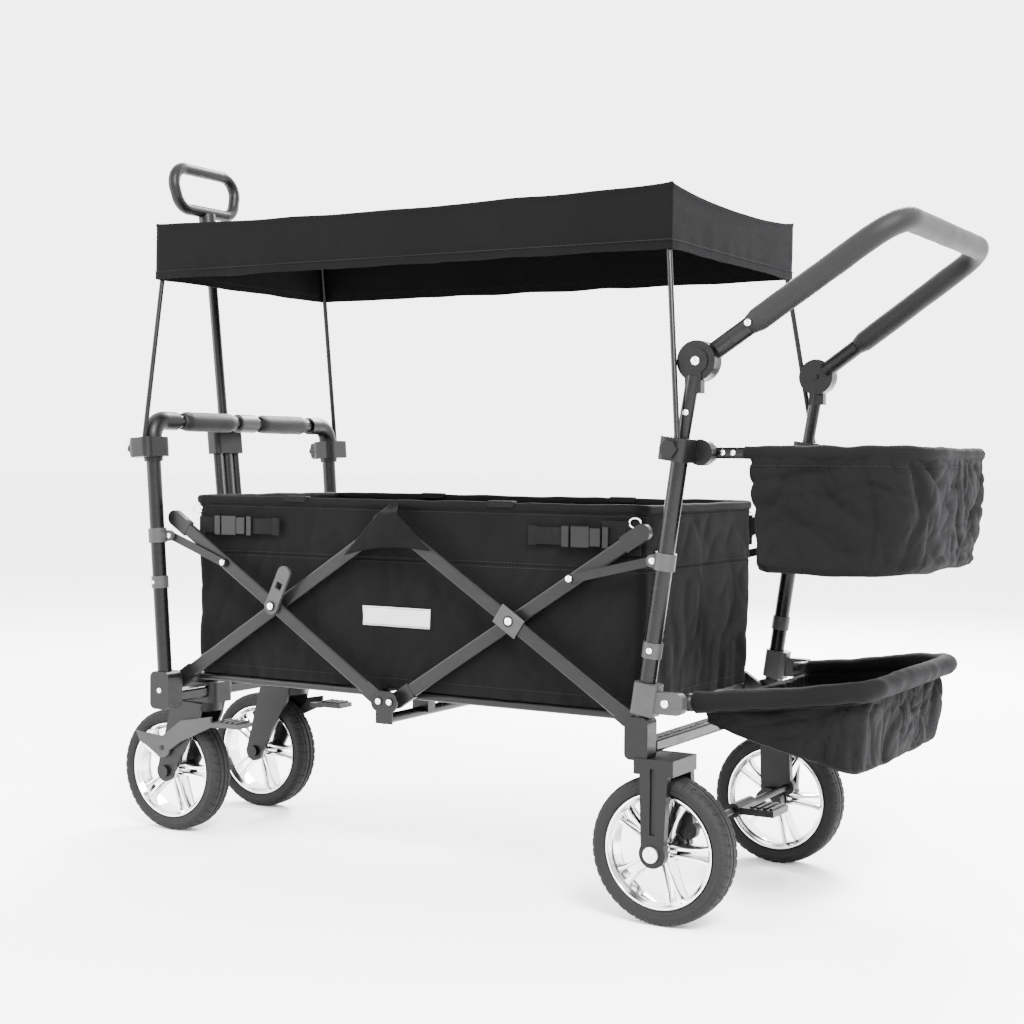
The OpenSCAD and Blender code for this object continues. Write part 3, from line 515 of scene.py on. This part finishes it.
# ---------- canopy ----------
def make_canopy():
    """One sheet: a top that sags between its four pole tips, and a hanging edge with a hem."""
    x0, x1, y, z, h = CANOPY_X0 + 1, CANOPY_X1 - 1, CANOPY_Y - 1, CANOPY_Z - 1, VALANCE
    nx, ny = 120, 60

    def top(px, py):
        u, v = (px - x0) / (x1 - x0), (py + y) / (2 * y)
        edge_x = math.sin(math.pi * v) ** 0.6 if 0 < v < 1 else 0.0
        edge_y = math.sin(math.pi * u) ** 0.5 if 0 < u < 1 else 0.0
        near_end = min(px - x0, x1 - px) / 60
        near_side = min(py + y, y - py) / 60
        sag = 13 * edge_x * math.exp(-near_end) + 8 * edge_y * math.exp(-near_side)
        sag += 16 * (edge_x * edge_y) ** 0.7
        ripple = 2.2 * noise.noise(Vector((px / 90, py / 60, 0.3))) * min(1, near_end + 0.2)
        return z - sag + ripple

    xs = [x0 + (x1 - x0) * i / nx for i in range(nx + 1)]
    ys = [-y + 2 * y * j / ny for j in range(ny + 1)]
    verts = [row((px, py, top(px, py))) for py in ys for px in xs]
    faces = grid_faces(ny + 1, nx + 1)
    rim = [j * (nx + 1) + i for j, i in
           [(0, i) for i in range(nx)] + [(j, nx) for j in range(ny)] + [(ny, nx - i) for i in range(nx)]
           + [(ny - j, 0) for j in range(ny)]]
    out = []
    for k in range(len(rim)):
        a, b = verts[rim[k - 1]], verts[rim[(k + 1) % len(rim)]]
        t = (b - a).normalized()
        out.append(Vector((t.y, -t.x, 0)).normalized())
    rows = [0.02, 0.045, 0.08, 0.14, 0.22, 0.3, 0.38, 0.46, 0.54, 0.62, 0.7, 0.78]
    rows += [0.83, 0.855, 0.87, 0.9, 0.95, 0.99, 1.0]
    prev = rim
    for f in rows:
        cur = []
        for k, base in enumerate(rim):
            p = verts[base]
            bottom = row((0, 0, CANOPY_Z - h)).z
            q = p.copy()
            q.z = p.z + (bottom - p.z) * f
            wave_amp = 0.0022 * smooth_step(0.05, 0.9, f)
            s = noise.noise(Vector((p.x * 9, p.y * 9, f * 0.6)))
            s += 0.5 * noise.noise(Vector((p.x * 30, p.y * 30, f * 1.5 + 4)))
            hem = 0.0009 if f > 0.86 else 0.0
            crown = 0.0012 * math.sin(math.pi * min(1, f / 0.08)) if f < 0.08 else 0.0
            q += out[k] * (wave_amp * s + hem + crown - 0.001)
            if f > 0.9:
                q.z += 0.0022 * noise.noise(Vector((p.x * 14, p.y * 14, 9)))
            verts.append(q)
            cur.append(len(verts) - 1)
        n = len(rim)
        faces += [(prev[k], prev[(k + 1) % n], cur[(k + 1) % n], cur[k]) for k in range(n)]
        prev = cur
    ob = piece("canopy_cloth_sheet", verts, faces, "canopy", "front_frame", "fabric")
    solidify(ob, 0.0011)
    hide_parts("canopy_fabric")
    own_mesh(ob)
    stitches = []
    for px, py, ax, ay in rounded_loop(x0 - 1.2, x1 + 1.2, y + 1.2, 2, 2, step=5.5):
        turn = Matrix.Rotation(math.atan2(ay, ax), 3, "Z")
        stitches.append(block(row((px, py, CANOPY_Z - h * 0.862)), (0.0007, 0.0036, 0.0008), turn))
    st = piece("canopy_hem_stitches", *merge(stitches), "thread", "front_frame", "fabric", smooth=False)
    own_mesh(st)


make_canopy()


# ---------- tub ----------
TUB_BODY = "top_centre"
SEAM_Z = 490
FOOT_HEM = 24


def tub_outer(px, py, nx, ny, z):
    """A point on the tub's outside, with its folds; z in working millimetres."""
    f = (z - TUB_Z0) / (RIM_Z - TUB_Z0)
    p = row((px, py, z))
    seed = Vector((0, 0, 3.0 if py < 0 else 9.0))
    swell = noise.noise(Vector((p.x * 3.5, p.z * 5, p.y * 2)) + seed)
    billow = 3.2 * swell * math.sin(math.pi * unit(f))
    pleat = 3.4 * fold(Vector((p.x * 1.0, p.y * 1.0, p.z * 0.12)) + seed, 34, 3) * math.exp(-f / 0.22)
    crease = 3.8 * fold(Vector((p.x + 0.6 * p.z, p.y, 0.5 * p.z - 0.3 * p.x)) + seed, 11, 5) * (1 - 0.5 * f)
    crease += 2.2 * fold(Vector((p.x - 0.5 * p.z, p.y, 0.6 * p.z)) + seed * 2, 19, 6)
    crease *= 1 - 0.7 * smooth_step(0.92, 1.0, f)
    seam = 1.6 if abs(z - SEAM_Z) < 1.3 else 0.0
    inset = 1.5 * smooth_step(0.12, 0.0, f)
    d = 0.8 + billow - pleat - crease - seam - inset
    return row((px + nx * d, py + ny * d, z))


def make_tub():
    """The tub's walls as one sewn band, turned in at the foot, with binding, seam stitches and a rim roll."""
    loop = rounded_loop(TUB_X0, TUB_X1, TUB_Y, 16, 16, step=6.0)
    zs = [TUB_Z0, TUB_Z0 + 3, TUB_Z0 + 8]
    zs += [TUB_Z0 + 14 + 5.4 * i for i in range(35)] + [SEAM_Z - 1.6, SEAM_Z, SEAM_Z + 1.6]
    zs += [SEAM_Z + 7 + 6 * i for i in range(13)] + [RIM_Z]
    zs = sorted(set(zs))
    verts = []
    for z in zs:
        verts += [tub_outer(px, py, nx, ny, z) for px, py, nx, ny in loop]
    n = len(loop)
    faces = grid_faces(len(zs), n, True)
    foot = []
    for k, (px, py, nx, ny) in enumerate(loop):
        verts.append(row((px - nx * FOOT_HEM, py - ny * FOOT_HEM, TUB_Z0 + 1.0)))
        foot.append(len(verts) - 1)
    faces += [((k + 1) % n, k, foot[k], foot[(k + 1) % n]) for k in range(n)]
    tub = piece("tub_cloth_shell", verts, faces, "tub", TUB_BODY, "fabric")
    solidify(tub, 0.0016)
    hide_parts("tub_fabric")
    soft = [tub]
    # Binding tape: a flattened roll on the rim
    path = []
    for px, py, nx, ny in loop:
        lift = 1.2 + 1.6 * noise.noise(Vector((px / 60, py / 60, 1)))
        path.append(row((px + nx * 0.2, py + ny * 0.2, RIM_Z + lift)))
    v, f = tube_mesh(path, 0.0068, sides=12, closed=True, flat=0.5, wobble=0.0008)
    soft.append(piece("tub_rim_binding", v, f, "binding", TUB_BODY, "fabric"))
    # Double row of stitches under the rim and a hem line above the floor
    bits = []
    for z in (SEAM_Z - 3.5, SEAM_Z + 3.5, TUB_Z0 + 16, RIM_Z - 9):
        for px, py, nx, ny in loop:
            q = tub_outer(px, py, nx, ny, z) + Vector((nx, ny, 0)) * 0.0002
            bits.append(block(q, (0.0009, 0.0036, 0.0009), Matrix.Rotation(math.atan2(ny, nx), 3, "Z")))
    soft.append(piece("tub_seam_stitches", *merge(bits), "thread", TUB_BODY, "fabric", smooth=False))
    for ob in soft:
        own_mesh(ob)


make_tub()


# ---------- tub floor ----------
def make_floor_mats():
    """Two quilted floor cloths, one laid on each stiff half, so that they fold up with it."""
    y, rows_n, cols = TUB_Y - 6, 64, 48
    for name, x0, x1, body in (("floor_mat_front", TUB_X0 + 6, -18, "floor_front"),
                               ("floor_mat_rear", 18, TUB_X1 - 6, "floor_rear")):
        verts = []
        for i in range(rows_n + 1):
            for j in range(cols + 1):
                px, py = x0 + (x1 - x0) * i / rows_n, -y + 2 * y * j / cols
                edge = smooth_step(0, 8, min(px - x0, x1 - px, py + y, y - py))
                across = abs(math.sin(3 * math.pi * j / cols))
                quilt = abs(math.sin(4 * math.pi * i / rows_n)) ** 0.5 * across ** 0.5
                soft = 0.6 * noise.noise(Vector((px / 40, py / 40, 2)))
                verts.append(row((px, py, TUB_Z0 + 4.0 + edge * (1.6 * quilt + soft * quilt))))
        ob = piece(name, verts, grid_faces(rows_n + 1, cols + 1), "tub", body, "fabric")
        solidify(ob, 0.0012, 0.0)
    verts = [row((x, py, TUB_Z0 + 0.6)) for py in (-y, -y / 2, 0, y / 2, y) for x in (-32, -12, 0, 12, 32)]
    ob = piece("floor_fold_strip", verts, grid_faces(5, 5), "tub", "bottom_centre", "fabric")
    solidify(ob, 0.0008, 0.0)


make_floor_mats()


# ---------- side flaps ----------
def make_flaps():
    """Cloth gussets that hang from the rim over the upper centre brackets."""
    left = [(-74, 496), (-52, 519), (-30, 542), (-12, 560), (-4, 578)]
    right = [(84, 508), (64, 528), (44, 546), (24, 562), (8, 578)]
    parts = []
    for s in SIDES:
        verts = []
        rows_n, cols = 24, 20
        for i in range(rows_n + 1):
            t = i / rows_n * (len(left) - 1)
            k = min(int(t), len(left) - 2)
            a = Vector(left[k]).lerp(Vector(left[k + 1]), t - k)
            b = Vector(right[k]).lerp(Vector(right[k + 1]), t - k)
            for j in range(cols + 1):
                c = j / cols
                q = a.lerp(b, c)
                sag = 9 * math.sin(math.pi * c) * (1 - i / rows_n) ** 2
                bulge = 3.5 * math.sin(math.pi * c) * math.sin(math.pi * min(1, i / rows_n + 0.15))
                back = 24 * smooth_step(0.72, 1.0, i / rows_n)
                crease = 1.4 * fold(Vector((q.x / 1000, q.y / 1000, s)), 30, 4)
                verts.append(row((q.x, s * (236.2 + bulge - back - crease), q.y + sag)))
        parts.append((verts, grid_faces(rows_n + 1, cols + 1)))
    ob = piece("side_flap_cloth", *merge(parts), "tub", "top_centre", "fabric")
    solidify(ob, 0.0016, 0.0)
    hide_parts("side_flaps")


make_flaps()


# ---------- upper basket ----------
def u_path(x0, x1, y, r, z0, z1, step=5.0, start=0.0):
    """A U seen from above: out along -y, round the rear and back along +y, z rising from z0 to z1."""
    pts = []
    xs = x0 + start
    n = int((x1 - r - xs) / step)
    for i in range(n):
        pts.append((xs + (x1 - r - xs) * i / n, -y))
    m = int(r * math.pi / 2 / step)
    for i in range(m + 1):
        a = math.radians(-90 + 90 * i / m)
        pts.append((x1 - r + r * math.cos(a), -y + r + r * math.sin(a)))
    k = int((2 * y - 2 * r) / step)
    for i in range(1, k):
        pts.append((x1, -y + r + (2 * y - 2 * r) * i / k))
    half = pts
    mirror = [(x, -yy) for x, yy in reversed(half) if yy < -1e-6]
    full = [p for p in half if p[1] <= 0] + [p for p in mirror]
    return [row((x, yy, z0 + (z1 - z0) * (x - x0) / (x1 - x0))) for x, yy in full]


def bag_point(px, py, nx, ny, z, z_top, z_bot, seed, amp):
    f = (z - z_bot) / (z_top - z_bot)
    p = row((px, py, z))
    s = Vector((seed, seed * 0.7, 0))
    warp = Vector((noise.noise(p * 9 + s), noise.noise(p * 9 + s * 2), noise.noise(p * 9 - s))) * 0.045
    big = noise.noise(p * 7 + s) * 4.5 + noise.noise(p * 15 - s) * 2.0
    creases = fold(p + warp + s, 13, 5) * 8.0 + fold(p + warp * 1.6 - s, 24, 6) * 5.0
    creases += fold(p + warp * 0.7 + s * 3, 40, 7) * 2.2
    hold = smooth_step(1.0, 0.86, f) * (0.55 + 0.45 * smooth_step(0.0, 0.1, f))
    d = (big - creases * 0.9 + 3.0 * math.sin(math.pi * unit(f))) * amp * hold
    return row((px + nx * d, py + ny * d, z + 0.25 * d * noise.noise(p * 20)))


def make_bag(name, loop, z_top, z_bottom, seed, amp, body, replaced, tuck):
    """A sagging bag: walls lofted down from a loop, drawn in by tuck at the foot, with a soft bottom."""
    n = len(loop)
    rows_n = 46
    verts = []
    for i in range(rows_n + 1):
        f = 1 - i / rows_n
        for px, py, nx, ny in loop:
            zt, zb = z_top(px), z_bottom(px, py)
            z = zb + (zt - zb) * f
            t = tuck * (1 - f) + 7 * smooth_step(0.07, 0.0, f) ** 1.6
            verts.append(bag_point(px - nx * t, py - ny * t, nx, ny, z, zt, zb, seed, amp))
    faces = grid_faces(rows_n + 1, n, True)
    prev = [rows_n * n + k for k in range(n)]
    cx = sum(p[0] for p in loop) / n
    for s in (0.93, 0.83, 0.7, 0.54, 0.36, 0.18):
        cur = []
        for px, py, nx, ny in loop:
            bx, by = px - nx * (tuck + 7), py - ny * (tuck + 7)
            x, y = cx + (bx - cx) * s, by * s
            q = row((x, y, z_bottom(x, y) - 5 * (1 - s)))
            q.z += 0.004 * noise.noise(q * 16 + Vector((seed, 0, 0)))
            verts.append(q)
            cur.append(len(verts) - 1)
        faces += [(prev[(k + 1) % n], prev[k], cur[k], cur[(k + 1) % n]) for k in range(n)]
        prev = cur
    fan(verts, faces, prev)
    ob = piece(name, verts, faces, "basket", body, "fabric")
    solidify(ob, 0.0014)
    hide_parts(replaced)
    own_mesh(ob)
    return ob


def make_upper_basket():
    x0, x1, y, depth = 580, UPPER_X1 + 9, UPPER_Y + 9, 158
    loop = rounded_loop(x0, x1, y, 12, 112, step=4.0)

    def bottom(x, _):
        return UPPER_Z - depth - 6 * math.sin(math.pi * unit((x - x0) / (x1 - x0)))

    bag = make_bag("upper_basket_cloth", loop, lambda x: UPPER_Z + 4, bottom, 3.3, 1.0, "upper_basket",
                   "upper_basket_bag", 9)
    path = u_path(UPPER_X0, UPPER_X1, UPPER_Y, 110, UPPER_Z, UPPER_Z, start=55)
    v, f = tube_mesh(path, 0.0104, sides=20, wobble=0.003, seed=2.0)
    sleeve = piece("upper_basket_sleeve", v, f, "basket", "upper_basket", "fabric")
    hem = []
    for px, py, nx, ny in rounded_loop(x0, x1, y, 12, 112, step=5.5):
        q = bag_point(px - nx, py - ny, nx, ny, UPPER_Z - 17, UPPER_Z + 4, UPPER_Z - depth, 3.3, 1.0)
        turn = Matrix.Rotation(math.atan2(ny, nx), 3, "Z")
        hem.append(block(q + Vector((nx, ny, 0)) * 0.0008, (0.0008, 0.0034, 0.0008), turn))
    st = piece("upper_basket_stitches", *merge(hem), "thread", "upper_basket", "fabric", smooth=False)
    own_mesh(st)


def rail_z(x):
    """Height of the lower basket's padded rail at x."""
    (xa, za), (xb, zb) = LOWER_PIVOT, LOWER_REAR
    return za + (zb - za) * (x - xa) / (xb - xa)


def make_lower_basket():
    x0, x1, y = 514, LOWER_REAR[0] - 6, LOWER_Y - 8

    def bottom(x, yy):
        t = unit((x - x0) / (x1 - x0))
        return 289 - 60 * t ** 0.75 - 4 * math.cos(math.pi * yy / (2 * y))

    loop = rounded_loop(x0, x1, y, 10, 54, step=4.0)
    bag = make_bag("lower_basket_cloth", loop, lambda x: rail_z(x) - 6, bottom, 7.1, 0.9, "lower_basket",
                   "lower_basket_bag", 8)
    path = u_path(LOWER_PIVOT[0], LOWER_REAR[0], LOWER_Y, 60, LOWER_PIVOT[1], LOWER_REAR[1], start=16)
    v, f = tube_mesh(path, 0.0142, sides=22, wobble=0.0024, seed=5.0)
    pad = piece("lower_basket_padded_bar", v, f, "basket", "lower_basket", "foam")
    v, f = tube_mesh([q + Vector((0, 0, -0.0138)) for q in path], 0.0022, sides=8, wobble=0.0006, seed=8.0)
    piece("lower_basket_piping", v, f, "binding", "lower_basket", "fabric")
    parts = []
    for s in SIDES:
        parts.append(tube_mesh([row((LOWER_PIVOT[0] - 8, s * LOWER_Y, LOWER_PIVOT[1] - 1)),
                                row((LOWER_PIVOT[0] + 18, s * LOWER_Y, LOWER_PIVOT[1] + 2))], 0.0125, 20))
    end = piece("lower_basket_bar_ends", *merge(parts), "plastic", "lower_basket", "black_plastic")
    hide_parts("lower_basket_frame")


make_upper_basket()
make_lower_basket()


# ---------- wheels ----------
WHEEL_R, TYRE_W, RIM_R, RIM_W, HUB_R, AXLE_R = 105.0, 45.0, 80.85, 40.0, 17.0, 6.0
WHEELS = {
    "caster": ((-510.0, 120.0), "caster_wheel"),
    "rear": ((467.0, 219.0), "rear_wheel"),
}


def lathe(profile, n, shape=None):
    """Verts and faces of a profile of (radius, y) turned about Y; shape may shift (r, y, angle)."""
    verts = []
    for k in range(n):
        a = 2 * math.pi * k / n
        for r, y in profile:
            rr, yy = shape(r, y, a) if shape else (r, y)
            verts.append(Vector((rr * math.cos(a), yy, rr * math.sin(a))))
    m = len(profile)
    faces = [(k * m + i, k * m + (i + 1) % m, ((k + 1) % n) * m + (i + 1) % m, ((k + 1) % n) * m + i)
             for k in range(n) for i in range(m)]
    return verts, faces


def tyre_shape():
    """A tyre with raised shoulders, three tread ribs cut by slanting grooves and ringed sidewalls."""
    w, r0 = TYRE_W / 2, RIM_R + 0.4
    sidewall = [(r0, -w + 6), (r0 + 3, -w + 1.5), (r0 + 6, -w + 0.4), (r0 + 7, -w + 0.9), (r0 + 8, -w + 0.3),
                (r0 + 13, -w + 0.2), (r0 + 14, -w + 0.8), (r0 + 15, -w + 0.3)]
    shoulder = [(WHEEL_R - 6.5, -w + 1.2), (WHEEL_R - 3.2, -w + 3.0), (WHEEL_R - 1.2, -w + 6),
                (WHEEL_R - 0.5, -w + 9), (WHEEL_R - 0.3, -w + 11.2)]
    tread = [(WHEEL_R - 2.0, -w + 11.6), (WHEEL_R - 2.0, -w + 13.0), (WHEEL_R - 0.2, -w + 13.4),
             (WHEEL_R, -w + 18), (WHEEL_R, -2.2), (WHEEL_R - 1.7, -1.8)]
    outer = sidewall + shoulder + tread
    profile = outer + [(r, -y) for r, y in reversed(outer)]
    blocks = 44

    def shape(r, y, a):
        if r < WHEEL_R - 7 or abs(y) < 9:
            return r, y
        phase = (a * blocks / (2 * math.pi) + y * 0.02) % 1.0
        return (r - 1.5 if phase < 0.2 else r), y

    return lathe(profile, blocks * 10, shape)


def spoke(a0, side_sign):
    """One leg of a twin spoke: it starts at the hub, bows away from its twin and widens at the rim."""
    stations = [(HUB_R - 2, 2.0, 8.5), (30, 2.4, 9.0), (45, 3.2, 9.5), (60, 4.6, 11.0)]
    stations.append((RIM_R - 7, 6.5, 14.5))
    verts = []
    for r, inner, outer in stations:
        wide = outer - inner
        for off, crown in ((inner, 0), (inner + wide * 0.25, 1), (inner + wide * 0.75, 1), (outer, 0)):
            for y in (1, -1):
                depth = 7.5 + 3.5 * crown + 5.5 * (1 - r / RIM_R)
                p = Vector((r, y * depth, off * side_sign))
                verts.append(Matrix.Rotation(a0, 3, "Y") @ p)
    faces = []
    for i in range(len(stations) - 1):
        for k in range(3):
            for y in (0, 1):
                a, b = i * 8 + k * 2 + y, (i + 1) * 8 + k * 2 + y
                faces.append((a, a + 2, b + 2, b))
        for k in (0, 3):
            faces.append((i * 8 + k * 2, i * 8 + k * 2 + 1, (i + 1) * 8 + k * 2 + 1, (i + 1) * 8 + k * 2))
    return verts, faces


def rim_parts():
    w = RIM_W / 2
    lip = [(RIM_R - 2.2, w), (RIM_R - 3.4, w - 1.4), (RIM_R - 4.6, w - 4), (RIM_R - 8, w - 8)]
    ring = [(RIM_R, -w), (RIM_R, w)] + lip + [(RIM_R - 9, 0)] + [(r, -y) for r, y in reversed(lip)]
    cap = [(AXLE_R + 0.3, w + 1.5), (HUB_R - 6, w + 1.5), (HUB_R - 3, w), (HUB_R, w - 5)]
    hub = [(AXLE_R + 0.3, -w - 1.5)] + cap + [(HUB_R + 1, 0)] + [(r, -y) for r, y in reversed(cap[1:])]
    parts = [lathe(ring, 120), lathe(hub, 48)]
    for i in range(5):
        for sg in (-1, 1):
            parts.append(spoke(2 * math.pi * i / 5, sg))
    return merge(parts)


def make_wheels():
    tyre, rim = tyre_shape(), rim_parts()
    for kind, ((x, y), body) in WHEELS.items():
        for side, sg in (("left", 1), ("right", -1)):
            centre = Vector((x, sg * y, WHEEL_R))
            for part, (v, f), mat, slot in (("tyre", tyre, "tyre", "tyre"), ("rim", rim, "chrome", "chrome")):
                name = f"{kind}_{part}_shape_{side}"
                ob = piece(name, [row(centre + q) for q in v], f, mat, f"{body}_{side}", slot)
                ob.data.set_sharp_from_angle(angle=math.radians(32))
                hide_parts(f"{kind}_{part}_{side}")


make_wheels()


# ---------- foam sleeves ----------
def handle_point(u, y, w=0.0):
    """A point u along the push handle's plane from its hubs, w above that plane."""
    c, s = math.cos(HANDLE_RISE), math.sin(HANDLE_RISE)
    return (HUB[0] + u * c - w * s, y, HUB[1] + u * s + w * c)


def rounded_path(points, radius, step=6.0):
    """A polyline of working points with its corners rounded off."""
    pts = [Vector(p) for p in points]
    out = [pts[0]]
    for i in range(1, len(pts) - 1):
        a, b = (pts[i] - pts[i - 1]).normalized(), (pts[i + 1] - pts[i]).normalized()
        turn = a.angle(b)
        cut = radius * math.tan(turn / 2)
        start = pts[i] - a * cut
        normal = (b - a * a.dot(b)).normalized()
        centre = start + normal * radius
        n = max(2, int(radius * turn / step))
        for k in range(n + 1):
            t = turn * k / n
            out.append(centre + a * radius * math.sin(t) - normal * radius * math.cos(t))
    out.append(pts[-1])
    fine = [out[0]]
    for p in out[1:]:
        n = max(1, int((p - fine[-1]).length / step))
        a = fine[-1].copy()
        fine += [a.lerp(p, k / n) for k in range(1, n + 1)]
    return fine


def sleeve(path, r):
    """A foam tube along a path: rounded ends, a slight squeeze and unevenness."""
    n = len(path) - 1

    def radius(t):
        return r / 1000 * (0.8 + 0.2 * smooth_step(0, 2.2 / n, min(t, 1 - t)))

    return tube_mesh([row(p) for p in path], radius, sides=28, wobble=0.0006, seed=4.0)


def make_foam():
    corner_y, start = 204.0, 84.0
    near = 225.7 + (corner_y - 225.7) * (start - 22) / (326 - 22)
    corners = [(start, -near), (326, -corner_y), (326, corner_y), (start, near)]
    path = rounded_path([handle_point(u, y) for u, y in corners], 50)
    ob = piece("push_handle_foam", *sleeve(path, 16.5), "foam", "push_handle", "foam")
    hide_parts("push_foam")
    parts = [sleeve(rounded_path([(-461.7, s * 34, 705), (-461.7, s * 168, 705)], 1), 16.5) for s in SIDES]
    ob = piece("crossbar_foam_sleeves", *merge(parts), "foam", "front_frame", "foam")
    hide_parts("crossbar_foam")


make_foam()


# ---------- straps, buckles and rings on the tub ----------
def make_straps():
    web, hard, rings = [], [], []
    for s in SIDES:
        y = s * (TUB_Y + 4.2)
        for x0, x1, z in ((-388, -222, 535), (236, 398, 536)):
            n = 40
            top, bot = [], []
            for i in range(n + 1):
                x = x0 + (x1 - x0) * i / n
                dy = s * 1.4 * math.sin(6 * math.pi * i / n)
                top.append(row((x, y + dy, z + 12.5)))
                bot.append(row((x, y + dy, z - 12.5)))
            v = top + bot
            front = grid_faces(2, n + 1)
            back = [tuple(i + 2 * (n + 1) for i in f)[::-1] for f in front]
            web.append((v + [q + Vector((0, s * 0.0016, 0)) for q in v], front + back))
            bx = x0 + (x1 - x0) * (0.4 if x0 < 0 else 0.55)
            hard.append(block(row((bx, y + s * 4.6, z)), (0.030, 0.008, 0.031), None, 0.0022))
            hard.append(block(row((bx + 24, y + s * 4.6, z)), (0.017, 0.0066, 0.027), None, 0.0018))
            hard.append(block(row((bx - 25, y + s * 3.8, z)), (0.012, 0.006, 0.031), None, 0.0018))
            hard.append(block(row((bx + 40, y + s * 3.8, z)), (0.010, 0.006, 0.031), None, 0.0018))
            web.append(block(row((x0 + 8, y + s * 1.2, z)), (0.014, 0.003, 0.028), None, 0.001))
            web.append(block(row((x1 - 8, y + s * 1.2, z)), (0.014, 0.003, 0.028), None, 0.001))
        for cx, cz in ((-391, 560), (411, 558)):
            turns = [2 * math.pi * k / 24 for k in range(24)]
            ring = [row((cx + 9 * math.cos(a), s * (TUB_Y + 7), cz + 7 * math.sin(a))) for a in turns]
            rings.append(tube_mesh(ring, 0.0013, 8, closed=True))
        web.append(block(row((388, y + s * 0.4, 536)), (0.062, 0.003, 0.048), None, 0.001))
        for x in (-192, 188):
            web.append(block(row((x, s * (TUB_Y - 1), RIM_Z + 5)), (0.044, 0.016, 0.010), None, 0.003))
    a = piece("tub_straps", *merge(web), "webbing", TUB_BODY, "fabric", smooth=False)
    b = piece("strap_buckles", *merge(hard), "plastic", TUB_BODY, "black_plastic", smooth=False)
    c = piece("tub_corner_rings", *merge(rings), "steel", TUB_BODY, "steel")
    for ob in (a, b, c):
        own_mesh(ob)


make_straps()


# ---------- a plain label in place of any mark ----------
def make_label():
    parts, edge = [], []
    for s in SIDES:
        n = 30
        zc = 402
        verts = []
        for i in range(n + 1):
            for j in range(7):
                x = -62 + 124 * i / n
                z = zc - 15 + 30 * j / 6
                verts.append(tub_outer(x, s * TUB_Y, 0, s, z) + Vector((0, s * 0.0009, 0)))
        parts.append((verts, grid_faces(n + 1, 7)))
        for i in range(40):
            x = -59 + 118 * i / 39
            for z in (zc - 13, zc + 13):
                q = tub_outer(x, s * TUB_Y, 0, s, z) + Vector((0, s * 0.0018, 0))
                edge.append(block(q, (0.0022, 0.0006, 0.0006)))
    ob = piece("plain_side_labels", *merge(parts), "mesh_label", TUB_BODY, "fabric")
    solidify(ob, 0.0008, 1.0)
    st = piece("label_stitches", *merge(edge), "thread", TUB_BODY, "fabric", smooth=False)
    for o in (ob, st):
        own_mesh(o)


make_label()


# ---------- rivets and small hardware ----------
BAR_ANGLE = math.atan2(PIVOT_HIGH - PIVOT_LOW, HALF_LEN - CENTRE_GAP)
MID = (HALF_LEN + CENTRE_GAP) / 2
RIVET_RISE = 0.38
# By body: each rivet's place on the far side, and its radius; both sides get one
RIVETS = {
    "front_frame": [((-428, 237.4, 515.8), 5.0), ((-444, 253.6, 439), 4.0), ((-429, 257.2, 262), 4.5)],
    "front_links": [((-317.5, 233.4, 475.7), 5.2)],
    "rear_links": [((319, 233.4, 476.8), 5.2)],
    "rear_inner_bars": [((MID, 229.8, CROSS_Z), 6.0)],
    "bottom_centre": [((-10, 232.6, 275), 5.0), ((10, 232.6, 275), 5.0)],
    "rear_frame": [((452, 237.4, 507.6), 5.0), ((459, 257.8, 385), 4.5), ((481, 253.2, 313), 6.0),
                   ((423, 227.2, 275), 5.5), ((HUB[0], 245.7, HUB[1]), 6.5), ((506, 250.8, 712), 4.5),
                   ((466, 264.2, 105), 6.0)],
    "push_handle": [(handle_point(88, 238.6), 5.0)],
    "upper_basket": [((545, 213.2, 658), 4.0), ((560, 213.2, 658), 4.0)],
}


def make_rivets():
    for body, spots in RIVETS.items():
        parts = [dome(row((x, s * y, z)), (0, s, 0), r / 1000, r * RIVET_RISE / 1000)
                 for (x, y, z), r in spots for s in SIDES]
        piece("rivets_" + body, *merge(parts), "steel", body, "steel")
    parts = [dome(row((-MID, y, CROSS_Z)), (0, y, 0), 0.006, 0.0023) for y in (229.5, -235.3)]
    piece("rivets_front_crossing", *merge(parts), "steel", "front_inner_bars", "steel")
    parts = [dome(row((-463, y, 716.2)), (0, 0, 1), 0.0045, 0.002) for y in (-186, 8, 186)]
    piece("crossbar_rivets", *merge(parts), "steel", "front_frame", "steel")


make_rivets()


def make_cross_plates():
    """Moulded plates on the outer bars where the bars cross; the near front one is the fold lever."""
    turn = Matrix.Rotation(BAR_ANGLE, 3, "Y")
    for name, body, x, sides in (("front_cross_plate", "front_outer_bars", -MID, (1,)),
                                 ("rear_cross_plates", "rear_outer_bars", MID, SIDES)):
        parts = [block(row((x, s * CROSS_PLATE_Y, CROSS_Z)), (0.044, 0.0022, 0.032), turn, 0.0008)
                 for s in sides]
        piece(name, *merge(parts), "grey", body, "grey_bracket", smooth=False)


make_cross_plates()
